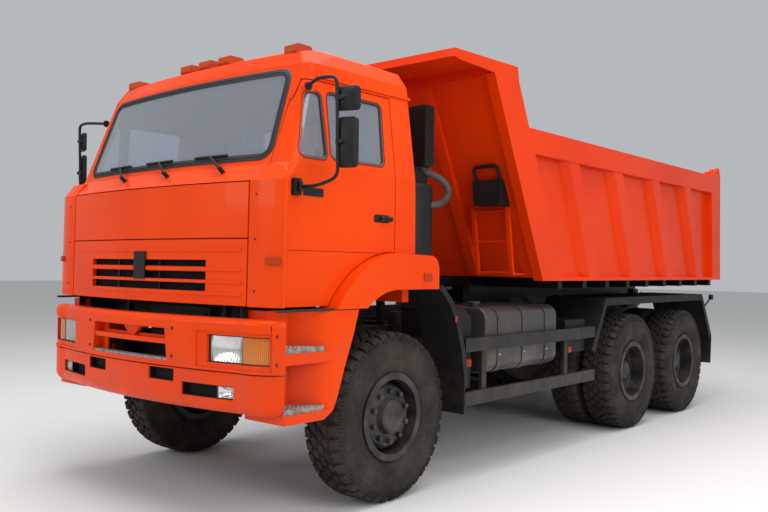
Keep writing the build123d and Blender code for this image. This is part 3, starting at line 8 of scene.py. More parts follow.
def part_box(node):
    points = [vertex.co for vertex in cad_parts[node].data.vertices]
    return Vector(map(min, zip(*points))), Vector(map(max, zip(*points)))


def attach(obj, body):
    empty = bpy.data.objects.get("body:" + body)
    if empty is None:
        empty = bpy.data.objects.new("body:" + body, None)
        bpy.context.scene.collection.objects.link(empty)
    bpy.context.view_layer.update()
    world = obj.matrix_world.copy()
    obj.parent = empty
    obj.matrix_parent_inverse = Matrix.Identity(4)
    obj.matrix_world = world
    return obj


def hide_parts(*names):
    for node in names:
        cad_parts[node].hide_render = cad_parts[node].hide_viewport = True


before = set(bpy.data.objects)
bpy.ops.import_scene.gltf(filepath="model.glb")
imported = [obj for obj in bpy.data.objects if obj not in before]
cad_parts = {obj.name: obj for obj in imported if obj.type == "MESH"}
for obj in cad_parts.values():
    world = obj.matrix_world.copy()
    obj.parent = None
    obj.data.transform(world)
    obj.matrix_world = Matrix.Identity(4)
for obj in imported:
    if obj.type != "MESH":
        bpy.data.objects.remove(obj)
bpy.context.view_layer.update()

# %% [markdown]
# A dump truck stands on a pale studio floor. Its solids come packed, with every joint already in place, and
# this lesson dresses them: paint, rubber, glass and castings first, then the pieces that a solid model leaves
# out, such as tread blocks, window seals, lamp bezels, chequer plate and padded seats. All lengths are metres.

MIDDLE = 2.4015      # from the front axle back to the middle of the truck's length
SIDES = (("left", 1), ("right", -1))


def at(x, y, z):
    """A point given in millimetres with the front axle at y = 0, as a maker's drawing gives it."""
    return Vector((x / 1000, y / 1000 - MIDDLE, z / 1000))


# %% [markdown]
# The camera stands a little ahead of the truck's left front corner at shoulder height and looks almost level.
# Its axes are built from three angles, so the view can be checked by hand: yaw turns it towards the truck,
# pitch lifts it by less than a degree, and roll levels the horizon.

# %% Camera
YAW, PITCH, ROLL = (math.radians(a) for a in (40.82, 0.75, 0.86))
FOCAL_PIXELS, FRAME_WIDTH, FRAME_HEIGHT = 822.8, 768, 512
PRINCIPAL = (383.0, 255.7)

ahead = Vector((-math.sin(YAW) * math.cos(PITCH), math.cos(YAW) * math.cos(PITCH), math.sin(PITCH)))
level_right = Vector((math.cos(YAW), math.sin(YAW), 0))
level_up = level_right.cross(ahead)
cam_right = math.cos(ROLL) * level_right + math.sin(ROLL) * level_up
cam_up = -math.sin(ROLL) * level_right + math.cos(ROLL) * level_up
lens = bpy.data.cameras.new("studio_camera")
lens.sensor_width = 36
lens.lens = 36 * FOCAL_PIXELS / FRAME_WIDTH
lens.shift_x = (FRAME_WIDTH / 2 - PRINCIPAL[0]) / FRAME_WIDTH
lens.shift_y = (PRINCIPAL[1] - FRAME_HEIGHT / 2) / FRAME_WIDTH
camera = bpy.data.objects.new("studio_camera", lens)
turn = Matrix((cam_right, cam_up, -ahead)).transposed().to_4x4()
camera.matrix_world = Matrix.Translation(at(4683, -4185, 1554)) @ turn
bpy.context.collection.objects.link(camera)
bpy.context.scene.camera = camera
print("lens", round(lens.lens, 2), "mm")

# %% [markdown]
# The studio is a pale floor, a bright even surround and three large soft lights. One big light overhead gives
# the roof and the top rails their sheen, one beside the camera opens the side, and a weaker one fills the
# front. The standard view transform keeps the saturated paint from washing out.

# %% Studio
FLOOR_HALF = 60
floor_mesh = bpy.data.meshes.new("studio_floor")
floor_corners = [(x * FLOOR_HALF, y * FLOOR_HALF, 0) for x, y in ((-1, -1), (1, -1), (1, 1), (-1, 1))]
floor_mesh.from_pydata(floor_corners, [], [(0, 1, 2, 3)])
studio_floor = bpy.data.objects.new("studio_floor", floor_mesh)
bpy.context.collection.objects.link(studio_floor)
pale = bpy.data.materials.new("pale_floor")
pale.use_nodes = True
pale.node_tree.nodes["Principled BSDF"].inputs["Base Color"].default_value = (0.70, 0.70, 0.695, 1)
pale.node_tree.nodes["Principled BSDF"].inputs["Roughness"].default_value = 0.9
floor_mesh.materials.append(pale)

surround = bpy.data.worlds.new("studio_surround")
surround.use_nodes = True
surround.node_tree.nodes["Background"].inputs["Color"].default_value = (0.94, 0.97, 1.0, 1)
surround.node_tree.nodes["Background"].inputs["Strength"].default_value = 0.5
bpy.context.scene.world = surround
bpy.context.scene.view_settings.view_transform = "Standard"

SOFT_LIGHTS = [  # name, place, target, size, power in watts
    ("overhead", (1.0, -1.0, 9.0), (0, 0, 1), 9.0, 900),
    ("beside_camera", (9.0, -4.0, 5.5), (0.5, 0.5, 1.2), 6.0, 380),
    ("front_fill", (-2.5, -11.0, 5.0), (0, -3, 1.3), 5.0, 240),
]
for name, place, target, size, power in SOFT_LIGHTS:
    light = bpy.data.lights.new(name, "AREA")
    light.energy, light.size = power, size
    lamp = bpy.data.objects.new(name, light)
    lamp.location = place
    lamp.rotation_euler = (Vector(target) - Vector(place)).to_track_quat("-Z", "Y").to_euler()
    bpy.context.collection.objects.link(lamp)
print(len(SOFT_LIGHTS), "soft lights")

# %% [markdown]
# Every finish starts from one shader with its fixed values on the shader's own sockets. Patterns are procedural
# and read Object coordinates, which never slide because each piece keeps its place in its mesh. Three small
# helpers cover nearly all: a texture, a ramp that turns it into colours, and a bump.

# %% Finish helpers


def finish(name, colour, roughness, **sockets):
    """A new material; the keyword names are the shader's sockets with underscores for spaces."""
    mat = bpy.data.materials.new(name)
    mat.use_nodes = True
    shader = mat.node_tree.nodes["Principled BSDF"]
    shader.inputs["Base Color"].default_value = (*colour, 1)
    shader.inputs["Roughness"].default_value = roughness
    for socket, value in sockets.items():
        shader.inputs[socket.replace("_", " ")].default_value = value
    mat.diffuse_color = (*colour, 1)
    return mat


def coords(mat, stretch=(1, 1, 1), offset=(0, 0, 0)):
    """Object coordinates, stretched so that a pattern can be longer one way."""
    nodes, links = mat.node_tree.nodes, mat.node_tree.links
    place = nodes.new("ShaderNodeTexCoord")
    mapping = nodes.new("ShaderNodeMapping")
    mapping.inputs["Scale"].default_value = stretch
    mapping.inputs["Location"].default_value = offset
    links.new(place.outputs["Object"], mapping.inputs["Vector"])
    return mapping.outputs["Vector"]


def noise(mat, scale, detail=4, stretch=(1, 1, 1), rough=0.55):
    """Cloudy noise, 0 to 1."""
    node = mat.node_tree.nodes.new("ShaderNodeTexNoise")
    node.inputs["Scale"].default_value = scale
    node.inputs["Detail"].default_value = detail
    node.inputs["Roughness"].default_value = rough
    mat.node_tree.links.new(coords(mat, stretch), node.inputs["Vector"])
    return node.outputs["Fac"]


def cells(mat, scale, stretch=(1, 1, 1)):
    """Distance to the nearest cell's middle, for grain and pits."""
    node = mat.node_tree.nodes.new("ShaderNodeTexVoronoi")
    node.inputs["Scale"].default_value = scale
    mat.node_tree.links.new(coords(mat, stretch), node.inputs["Vector"])
    return node.outputs["Distance"]


def span(mat, value, low, high, to_low=0.0, to_high=1.0):
    """Maps a value from one span to another, smoothly and clamped."""
    node = mat.node_tree.nodes.new("ShaderNodeMapRange")
    node.interpolation_type = "SMOOTHSTEP"
    for socket, number in zip(("From Min", "From Max", "To Min", "To Max"), (low, high, to_low, to_high)):
        node.inputs[socket].default_value = number
    mat.node_tree.links.new(value, node.inputs["Value"])
    return node.outputs["Result"]


def axis_value(mat, axis):
    """One of the piece's own coordinates, x, y or z, in metres."""
    split = mat.node_tree.nodes.new("ShaderNodeSeparateXYZ")
    mat.node_tree.links.new(coords(mat), split.inputs["Vector"])
    return split.outputs[axis]


def maths(mat, kind, a, b=None):
    """One sum on two values or a value and a number."""
    node = mat.node_tree.nodes.new("ShaderNodeMath")
    node.operation = kind
    for socket, value in zip(node.inputs, (a, b)):
        if isinstance(value, (int, float)):
            socket.default_value = value
        elif value is not None:
            mat.node_tree.links.new(value, socket)
    return node.outputs["Value"]


def blend_colours(mat, factor, first, second):
    """Mixes two colours, each a tuple or another node's output, by a pattern."""
    node = mat.node_tree.nodes.new("ShaderNodeMix")
    node.data_type = "RGBA"
    mat.node_tree.links.new(factor, node.inputs[0])
    for socket, colour in ((node.inputs[6], first), (node.inputs[7], second)):
        if isinstance(colour, tuple):
            socket.default_value = (*colour, 1)
        else:
            mat.node_tree.links.new(colour, socket)
    return node.outputs[2]


def feed(mat, socket, value):
    """Joins a pattern to one of the shader's sockets."""
    mat.node_tree.links.new(value, mat.node_tree.nodes["Principled BSDF"].inputs[socket])


def bump(mat, height, distance, strength=1.0):
    """Raises the surface by a pattern."""
    node = mat.node_tree.nodes.new("ShaderNodeBump")
    node.inputs["Distance"].default_value = distance
    node.inputs["Strength"].default_value = strength
    mat.node_tree.links.new(height, node.inputs["Height"])
    feed(mat, "Normal", node.outputs["Normal"])


def uneven_gloss(mat, scale, detail, spread, rough):
    """Roughness that drifts between two values in noisy patches."""
    feed(mat, "Roughness", span(mat, noise(mat, scale, detail), *spread, *rough))


def mottled(mat, scale, detail, spread, first, second):
    """A base colour that drifts between two in noisy patches."""
    feed(mat, "Base Color", blend_colours(mat, span(mat, noise(mat, scale, detail), *spread), first, second))


def road_dust(mat, base, dust, low, high, most=0.6):
    """Dust over a colour: thick at the lower height, gone at the upper one, and broken up by noise."""
    by_height = span(mat, axis_value(mat, "Z"), low, high, 1.0, 0.0)
    patches = span(mat, noise(mat, 3.5, 6), 0.35, 0.7)
    amount = maths(mat, "MULTIPLY", maths(mat, "MULTIPLY", by_height, patches), most)
    return blend_colours(mat, amount, base, dust), amount


DUST = (0.16, 0.115, 0.08)

# %% [markdown]
# The enamel is the truck's whole character: a saturated orange with a soft gloss under a thin clear coat, the
# faint orange peel that a spray gun leaves, slightly uneven shade from panel to panel, and road dust below waist
# height that dulls the gloss as well as the colour.

# %% Orange enamel
ORANGE = (0.83, 0.060, 0.001)
ORANGE_DEEP = (0.76, 0.047, 0.0008)
enamel = finish("orange_enamel", ORANGE, 0.34, Coat_Weight=0.2, Coat_Roughness=0.05, Coat_IOR=1.35,
                Specular_IOR_Level=0.1)
shade = blend_colours(enamel, span(enamel, noise(enamel, 1.1, 3), 0.3, 0.7), ORANGE, ORANGE_DEEP)
dusty, dust_amount = road_dust(enamel, shade, DUST, 0.62, 1.35, 0.22)
feed(enamel, "Base Color", dusty)
gloss = span(enamel, noise(enamel, 9, 5), 0.3, 0.75, 0.3, 0.4)
feed(enamel, "Roughness", maths(enamel, "ADD", gloss, maths(enamel, "MULTIPLY", dust_amount, 0.8)))
bump(enamel, noise(enamel, 260, 2), 0.00012, 0.5)


def variant(source, name):
    """A copy of a finish, and the output that feeds its base colour."""
    mat = source.copy()
    mat.name = name
    return mat, mat.node_tree.nodes["Principled BSDF"].inputs["Base Color"].links[0].from_socket


BED_SHADE_TINT = (0.93, 0.72, 0.5)      # painted shade: the body's panels are tinted deeper and redder than the cab's, for the shade that they lie in
bed_enamel = variant(enamel, "bed_enamel")[0]
for node in bed_enamel.node_tree.nodes:
    if node.type == "MIX":
        for socket in node.inputs:
            if socket.type == "RGBA" and not socket.is_linked and socket.default_value[0] > 0.5:
                tinted = [part * tint for part, tint in zip(socket.default_value, BED_SHADE_TINT)]
                socket.default_value = (*tinted, 1)
print("cab and body enamels ready")

# %% [markdown]
# The long sills and bearers below the body's deck are sprayed black after the body is painted, so one node wears
# two colours. A step on height, read from Object coordinates, parts them just below the deck.

# %% Black below the body's deck
DECK_UNDERSIDE = 1.4805
under_enamel, painted = variant(bed_enamel, "bed_enamel_black_below")
below_deck = maths(under_enamel, "LESS_THAN", axis_value(under_enamel, "Z"), DECK_UNDERSIDE)
feed(under_enamel, "Base Color", blend_colours(under_enamel, below_deck, painted, (0.011, 0.0105, 0.0105)))
print("the deck's underside turns black below", DECK_UNDERSIDE, "m")

# %% [markdown]
# The chassis wears thin satin black, brushed on over castings and rolled steel, so it is duller, slightly
# lumpy and dusty low down. Moulded plastic is as dark but has an even pebble grain and never shines.

# %% Blacks, castings and plastics
chassis_black = finish("chassis_black", (0.012, 0.011, 0.011), 0.5, Coat_Weight=0.1, Coat_Roughness=0.3,
                       Specular_IOR_Level=0.35)
soot = blend_colours(chassis_black, span(chassis_black, noise(chassis_black, 6, 6), 0.35, 0.7),
                     (0.009, 0.0085, 0.0085), (0.022, 0.0195, 0.018))
dusty, dust_amount = road_dust(chassis_black, soot, DUST, 0.55, 1.3, 0.22)
feed(chassis_black, "Base Color", dusty)
uneven_gloss(chassis_black, 12, 5, (0.3, 0.7), (0.4, 0.68))
bump(chassis_black, noise(chassis_black, 85, 4), 0.0006, 0.35)

casting = finish("painted_casting", (0.03, 0.028, 0.026), 0.6)
rusty = blend_colours(casting, span(casting, noise(casting, 5, 8), 0.45, 0.75), (0.024, 0.023, 0.022),
                      (0.085, 0.05, 0.03))
dusty, dust_amount = road_dust(casting, rusty, DUST, 0.2, 1.1, 0.65)
feed(casting, "Base Color", dusty)
uneven_gloss(casting, 20, 5, (0.3, 0.7), (0.5, 0.8))
bump(casting, noise(casting, 150, 5), 0.0012, 0.5)

black_plastic = finish("moulded_black_plastic", (0.008, 0.008, 0.0085), 0.5, Specular_IOR_Level=0.3)
feed(black_plastic, "Base Color", road_dust(black_plastic, (0.0075, 0.0075, 0.008), DUST, 0.5, 1.35, 0.16)[0])
uneven_gloss(black_plastic, 14, 4, (0.3, 0.7), (0.45, 0.62))
bump(black_plastic, cells(black_plastic, 520), 0.0004, 0.5)

tank_grey = finish("tank_grey_enamel", (0.04, 0.037, 0.035), 0.36, Coat_Weight=0.25, Coat_Roughness=0.2)
feed(tank_grey, "Base Color", road_dust(tank_grey, (0.035, 0.033, 0.032), DUST, 0.7, 1.3, 0.75)[0])
uneven_gloss(tank_grey, 8, 6, (0.3, 0.7), (0.3, 0.55))
bump(tank_grey, noise(tank_grey, 30, 3), 0.0008, 0.3)

wheel_paint = finish("satin_wheel_paint", (0.02, 0.019, 0.019), 0.45, Coat_Weight=0.12, Coat_Roughness=0.25,
                     Specular_IOR_Level=0.35)
mottled(wheel_paint, 7, 7, (0.38, 0.72), (0.014, 0.0135, 0.0135), (0.062, 0.05, 0.042))
uneven_gloss(wheel_paint, 18, 5, (0.3, 0.7), (0.35, 0.7))
bump(wheel_paint, noise(wheel_paint, 110, 4), 0.0005, 0.35)
print("five dark finishes")

# %% [markdown]
# Off-road tyres are never black for long. The rubber is brown with dry mud, paler in patches on the sidewall,
# with fine radial scuffs. The same finish serves the tread blocks.

# %% Tyre rubber
tyre_rubber = finish("dusty_tyre_rubber", (0.03, 0.024, 0.019), 0.85, Specular_IOR_Level=0.25)
worn = blend_colours(tyre_rubber, span(tyre_rubber, noise(tyre_rubber, 4, 8, rough=0.62), 0.36, 0.72),
                     (0.019, 0.016, 0.014), (0.052, 0.040, 0.031))
feed(tyre_rubber, "Base Color", worn)
uneven_gloss(tyre_rubber, 25, 4, (0.3, 0.7), (0.7, 0.95))
bump(tyre_rubber, noise(tyre_rubber, 190, 5), 0.0012, 0.5)

# %% [markdown]
# Glass, lenses and bright parts. The panes are tinted safety glass that reflects the studio strongly. Lamp
# lenses are moulded with fine upright flutes, which a wave texture gives as bump. Bright parts have brushed
# lines along one axis.

# %% Glass, lenses and metals
glass = finish("tinted_safety_glass", (0.60, 0.67, 0.76), 0.02, Transmission_Weight=0.8, IOR=1.5, Coat_Weight=0.3)
uneven_gloss(glass, 3, 5, (0.35, 0.75), (0.0, 0.06))


def flutes(mat, scale, direction="X"):
    """Upright mouldings inside a lamp's lens."""
    node = mat.node_tree.nodes.new("ShaderNodeTexWave")
    node.wave_type = "BANDS"
    node.bands_direction = direction
    node.inputs["Scale"].default_value = scale
    mat.node_tree.links.new(coords(mat), node.inputs["Vector"])
    return node.outputs["Fac"]


lens_mix = finish("lamp_lenses", (0.9, 0.9, 0.88), 0.12, Coat_Weight=1.0, Coat_Roughness=0.03, Metallic=0.55)
side_place = maths(lens_mix, "ABSOLUTE", axis_value(lens_mix, "X"))
clear_or_amber = blend_colours(lens_mix, span(lens_mix, side_place, 1.044, 1.046), (0.86, 0.86, 0.84),
                               (0.95, 0.23, 0.01))
rear_red = span(lens_mix, axis_value(lens_mix, "Y"), 0.0, 0.1)
feed(lens_mix, "Base Color", blend_colours(lens_mix, rear_red, clear_or_amber, (0.6, 0.012, 0.01)))
feed(lens_mix, "Metallic", span(lens_mix, rear_red, 0.0, 1.0, 0.5, 0.0))
bump(lens_mix, flutes(lens_mix, 28), 0.0015, 0.7)

amber = finish("amber_lens", (0.42, 0.045, 0.001), 0.28, Coat_Weight=0.1, Coat_Roughness=0.05,
               Specular_IOR_Level=0.2)
feed(amber, "Base Color", blend_colours(amber, flutes(amber, 110, "Y"), (0.5, 0.058, 0.001), (0.3, 0.028, 0.001)))
bump(amber, flutes(amber, 110, "Y"), 0.0006, 0.6)

aluminium = finish("worn_aluminium", (0.36, 0.34, 0.32), 0.55, Metallic=0.8)
mottled(aluminium, 30, 5, (0.35, 0.7), (0.42, 0.39, 0.37), (0.22, 0.19, 0.17))
uneven_gloss(aluminium, 40, 4, (0.3, 0.7), (0.48, 0.7))
bump(aluminium, noise(aluminium, 200, 3, (1, 12, 1)), 0.0003, 0.4)

ground_steel = finish("ground_steel", (0.58, 0.58, 0.57), 0.25, Metallic=1.0)
feed(ground_steel, "Roughness", span(ground_steel, noise(ground_steel, 60, 3, (1, 1, 14)), 0.3, 0.7, 0.16, 0.34))
bump(ground_steel, noise(ground_steel, 300, 2, (1, 1, 0.02)), 0.0001, 0.4)

mirror_glass = finish("mirror_glass", (0.85, 0.87, 0.88), 0.03, Metallic=1.0)
uneven_gloss(mirror_glass, 9, 4, (0.4, 0.8), (0.01, 0.08))

seal_rubber = finish("seal_rubber", (0.012, 0.012, 0.012), 0.5)
uneven_gloss(seal_rubber, 30, 3, (0.3, 0.7), (0.4, 0.6))
bump(seal_rubber, noise(seal_rubber, 300, 2), 0.0003, 0.4)

trim_plastic = finish("cab_trim_plastic", (0.07, 0.07, 0.075), 0.6)
feed(trim_plastic, "Base Color", blend_colours(trim_plastic, noise(trim_plastic, 8, 3), (0.06, 0.06, 0.065),
                                               (0.1, 0.1, 0.105)))
bump(trim_plastic, cells(trim_plastic, 400), 0.0004, 0.6)
print("glass, lens, metal and trim finishes ready")

# %% [markdown]
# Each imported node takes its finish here. A short table by finish is easier to check than sixty assignments.

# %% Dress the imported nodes
NODE_FINISH = {
    enamel: ["cab_roof", "cab_front", "cab_back", "grille_panel", "hood_panel", "corner_deflectors",
             "left_door", "right_door", "wheel_flares", "bumper", "step_fenders"],
    bed_enamel: ["bed_left_side", "bed_right_side", "bed_front_wall", "tailgate"],
    under_enamel: ["bed_floor"],
    chassis_black: ["frame_rails", "cross_members", "side_guards", "air_tanks_silencer", "cab_floor",
                    "hoist_barrel"],
    casting: ["engine_block", "driveline", "front_axle", "rear_axles", "leaf_springs", "left_knuckle",
              "right_knuckle"],
    black_plastic: ["mudguards", "equipment_boxes", "air_intake", "wipers", "left_mirrors", "right_mirrors",
                    "wheel_chock"],
    tank_grey: ["fuel_tank"],
    glass: ["cab_glass", "left_door_glass", "right_door_glass"],
    lens_mix: ["chassis_lamps"],
    amber: ["cab_lamps"],
    trim_plastic: ["dashboard", "seats"],
    ground_steel: [f"hoist_stage_{i}" for i in range(1, 5)],
}
for mat, part in ((wheel_paint, "rim"), (tyre_rubber, "tyre")):
    NODE_FINISH[mat] = [f"{axle}_{side}_{part}{many}" for side, sign in SIDES
                        for axle, many in (("front", ""), ("second", "s"), ("third", "s"))]
dressed = set()
for mat, nodes in NODE_FINISH.items():
    for node in nodes:
        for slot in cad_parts[node].material_slots:
            slot.material = mat
        dressed.add(node)
print("dressed", len(dressed), "nodes; left:", sorted(set(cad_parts) - dressed))

# %% [markdown]
# The pieces that the solids leave out are added from here on. A few helpers serve them all: one that links a
# finished mesh and lets it ride on its body, one that turns loose lists of points into a smooth mesh, and one
# that takes a node's solids apart, so that a tread or a lamp can have its own finish.

# %% Piece helpers


def piece(name, mesh, body, mat=None, stands_for=()):
    """A finished mesh as a piece of the truck, riding on a body."""
    obj = bpy.data.objects.new(name, mesh)
    bpy.context.collection.objects.link(obj)
    if mat is not None:
        mesh.materials.clear()
        mesh.materials.append(mat)
    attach(obj, body)
    if stands_for:
        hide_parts(*stands_for)
    return obj


def smooth_mesh(name, points, faces, sharp=35, outward=True):
    """A mesh from lists, merged, with its faces turned outwards and hard edges kept above an angle."""
    work = bmesh.new()
    verts = [work.verts.new(p) for p in points]
    for face in faces:
        if len(set(face)) > 2:
            try:
                work.faces.new([verts[i] for i in face])
            except ValueError:
                continue
    bmesh.ops.remove_doubles(work, verts=work.verts, dist=1e-5)
    if outward:
        bmesh.ops.recalc_face_normals(work, faces=work.faces)
    mesh = bpy.data.meshes.new(name)
    work.to_mesh(mesh)
    work.free()
    mesh.polygons.foreach_set("use_smooth", [True] * len(mesh.polygons))
    mesh.set_sharp_from_angle(angle=math.radians(sharp))
    return mesh


def joined(name, meshes, sharp=35):
    """Several meshes as one, each keeping its own faces and materials."""
    points, faces, slots, mats = [], [], [], []
    for mesh in meshes:
        start = len(points)
        points += [v.co.copy() for v in mesh.vertices]
        faces += [[start + i for i in poly.vertices] for poly in mesh.polygons]
        own = list(mesh.materials) or [None]
        for mat in own:
            if mat not in mats:
                mats.append(mat)
        slots += [mats.index(own[min(poly.material_index, len(own) - 1)]) for poly in mesh.polygons]
    result = bpy.data.meshes.new(name)
    result.from_pydata(points, [], faces)
    for mat in mats:
        if mat is not None:
            result.materials.append(mat)
    result.polygons.foreach_set("material_index", slots)
    result.polygons.foreach_set("use_smooth", [True] * len(faces))
    result.set_sharp_from_angle(angle=math.radians(sharp))
    return result


def shifted(mesh, matrix):
    """A copy of a mesh, moved; a mirrored copy gets its faces turned back."""
    copy = mesh.copy()
    copy.transform(matrix)
    if matrix.determinant() < 0:
        copy.flip_normals()
    return copy


MIRROR = Matrix.Diagonal((-1, 1, 1, 1))


def solids_of(node):
    """A node's loose solids, as (mesh, lowest corner, highest corner)."""
    work = bmesh.new()
    work.from_mesh(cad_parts[node].data)
    bmesh.ops.remove_doubles(work, verts=work.verts, dist=1e-5)
    todo, found = set(work.faces), []
    while todo:
        stack = [todo.pop()]
        island = list(stack)
        while stack:
            for edge in stack.pop().edges:
                for face in edge.link_faces:
                    if face in todo:
                        todo.discard(face)
                        stack.append(face)
                        island.append(face)
        verts = sorted({v for f in island for v in f.verts}, key=lambda v: v.index)
        order = {v: i for i, v in enumerate(verts)}
        mesh = smooth_mesh(node, [v.co.copy() for v in verts], [[order[v] for v in f.verts] for f in island])
        low = Vector([min(v.co[k] for v in verts) for k in range(3)])
        high = Vector([max(v.co[k] for v in verts) for k in range(3)])
        found.append((mesh, low, high))
    work.free()
    return found


print("piece helpers ready")

# %% [markdown]
# What repeats is grown with Geometry Nodes. Two small trees are enough for the truck: copies in a ring about
# the X axis for tread blocks, and copies at a list of points for screws and the lozenges of chequer plate. Each
# tree has named inputs and ends in Realize Instances and Set Material.

# %% Geometry Nodes helpers


def new_tree(name, inputs):
    """An empty tree with the given inputs, each a name, a socket type and a first value."""
    tree = bpy.data.node_groups.new(name, "GeometryNodeTree")
    tree.interface.new_socket("Geometry", in_out="OUTPUT", socket_type="NodeSocketGeometry")
    tree.interface.new_socket("Geometry", in_out="INPUT", socket_type="NodeSocketGeometry")
    for label, kind, value in inputs:
        socket = tree.interface.new_socket(label, in_out="INPUT", socket_type="NodeSocket" + kind)
        if value is not None:
            socket.default_value = value
    tree.interface.new_socket("Material", in_out="INPUT", socket_type="NodeSocketMaterial")
    return tree, tree.nodes.new("NodeGroupInput").outputs


def close_tree(tree, instances, material):
    """Realizes the copies and gives them their material."""
    real = tree.nodes.new("GeometryNodeRealizeInstances")
    paint = tree.nodes.new("GeometryNodeSetMaterial")
    tree.links.new(instances, real.inputs["Geometry"])
    tree.links.new(real.outputs["Geometry"], paint.inputs["Geometry"])
    tree.links.new(material, paint.inputs["Material"])
    tree.links.new(paint.outputs["Geometry"], tree.nodes.new("NodeGroupOutput").inputs["Geometry"])


def shape_input(tree, socket):
    """The mesh of an object given as an input."""
    info = tree.nodes.new("GeometryNodeObjectInfo")
    tree.links.new(socket, info.inputs["Object"])
    return info.outputs["Geometry"]


def sum_node(tree, kind, a, b):
    """One sum inside a tree; each side is a socket or a number."""
    node = tree.nodes.new("ShaderNodeMath")
    node.operation = kind
    for socket, value in zip(node.inputs, (a, b)):
        if isinstance(value, (int, float)):
            socket.default_value = value
        else:
            tree.links.new(value, socket)
    return node.outputs["Value"]


def ring_tree():
    """Copies of a shape turned about the X axis, evenly, from a first angle."""
    tree, given = new_tree("copies_in_a_ring", [("Shape", "Object", None), ("Count", "Int", 40),
                                                ("First Angle", "Float", 0.0)])
    line = tree.nodes.new("GeometryNodeMeshLine")
    line.inputs["Offset"].default_value = (0, 0, 0)
    tree.links.new(given["Count"], line.inputs["Count"])
    step = sum_node(tree, "DIVIDE", 2 * math.pi, given["Count"])
    turn = sum_node(tree, "MULTIPLY", tree.nodes.new("GeometryNodeInputIndex").outputs["Index"], step)
    turn = sum_node(tree, "ADD", turn, given["First Angle"])
    angles = tree.nodes.new("ShaderNodeCombineXYZ")
    tree.links.new(turn, angles.inputs["X"])
    copies = tree.nodes.new("GeometryNodeInstanceOnPoints")
    tree.links.new(line.outputs["Mesh"], copies.inputs["Points"])
    tree.links.new(shape_input(tree, given["Shape"]), copies.inputs["Instance"])
    tree.links.new(angles.outputs["Vector"], copies.inputs["Rotation"])
    close_tree(tree, copies.outputs["Instances"], given["Material"])
    return tree


def points_tree():
    """A copy of a shape at each of the host's points, all turned alike."""
    tree, given = new_tree("copies_at_points", [("Shape", "Object", None), ("Turn", "Vector", (0, 0, 0))])
    copies = tree.nodes.new("GeometryNodeInstanceOnPoints")
    tree.links.new(given["Geometry"], copies.inputs["Points"])
    tree.links.new(shape_input(tree, given["Shape"]), copies.inputs["Instance"])
    tree.links.new(given["Turn"], copies.inputs["Rotation"])
    close_tree(tree, copies.outputs["Instances"], given["Material"])
    return tree


def grown(tree, shape, mat, points=(), **values):
    """Runs a tree on its own host and returns the result as a plain mesh."""
    host_mesh = bpy.data.meshes.new("host")
    host_mesh.from_pydata([tuple(p) for p in points], [], [])
    host = bpy.data.objects.new("host", host_mesh)
    stamp = bpy.data.objects.new("stamp", shape)
    for obj in (host, stamp):
        bpy.context.collection.objects.link(obj)
    ids = {item.name: item.identifier for item in tree.interface.items_tree if item.in_out == "INPUT"}
    nodes = host.modifiers.new("nodes", "NODES")
    nodes.node_group = tree
    nodes[ids["Shape"]], nodes[ids["Material"]] = stamp, mat
    for label, value in values.items():
        nodes[ids[label.replace("_", " ")]] = value
    graph = bpy.context.evaluated_depsgraph_get()
    mesh = bpy.data.meshes.new_from_object(host.evaluated_get(graph))
    for obj in (host, stamp):
        bpy.data.objects.remove(obj)
    return mesh


RING, POINTS = ring_tree(), points_tree()
print("two trees:", RING.name, POINTS.name)

# %% [markdown]
# An off-road tyre is a carcass with deep blocks: pentagons on the shoulders that wrap down to the sidewall in
# three short fins, and a honeycomb of hexagons between them. One block of each kind is drawn at the top of the
# wheel, and the ring tree carries it round. The carcass is a turned profile with the raised rings that moulded
# sidewalls have.

# %% Tyres
TYRE_R = 0.561
BLOCKS_ROUND = 40
GROOVE_FLOOR = 0.545
HEXAGON_ACROSS, HEXAGON_ALONG = 0.0255, 0.0335      # a tread hexagon's half sizes
HEXAGON_ROW = 0.050                                 # from the middle row to the next
SIDE_PROFILE = [  # distance from the tyre's middle plane, radius
    (0.1197, 0.2545), (0.1252, 0.2960), (0.1330, 0.3060), (0.1420, 0.3190), (0.1455, 0.3330), (0.1490, 0.3380),
    (0.1515, 0.3620), (0.1545, 0.3900), (0.1556, 0.3925), (0.1563, 0.4150), (0.1556, 0.4390), (0.1544, 0.4415),
    (0.1530, 0.4600), (0.1518, 0.4780), (0.1500, 0.4800), (0.1470, 0.4960), (0.1440, 0.5080), (0.1380, 0.5210),
    (0.1260, 0.5330), (0.1000, 0.5410), (0.0500, GROOVE_FLOOR), (0.0, GROOVE_FLOOR + 0.0006),
]


def lathe(name, profile, steps, sharp=35, closed=True):
    """A turned surface about X from (x, radius) points."""
    points, faces, count = [], [], len(profile)
    for i in range(steps):
        angle = 2 * math.pi * i / steps
        points += [(x, r * math.cos(angle), r * math.sin(angle)) for x, r in profile]
    for i in range(steps):
        for j in range(count if closed else count - 1):
            a, b = i * count + j, i * count + (j + 1) % count
            c, d = (i + 1) % steps * count + (j + 1) % count, (i + 1) % steps * count + j
            faces.append((a, b, c, d))
    return smooth_mesh(name, points, faces, sharp)


def prism_block(name, rings):
    """A closed block from rings of equal length, the first and last capped."""
    points = [p for ring in rings for p in ring]
    n = len(rings[0])
    faces = [tuple(range(n)), tuple(range((len(rings) - 1) * n, len(rings) * n))]
    for k in range(len(rings) - 1):
        for i in range(n):
            j = (i + 1) % n
            faces.append((k * n + i, k * n + j, (k + 1) * n + j, (k + 1) * n + i))
    return smooth_mesh(name, points, faces, 20)


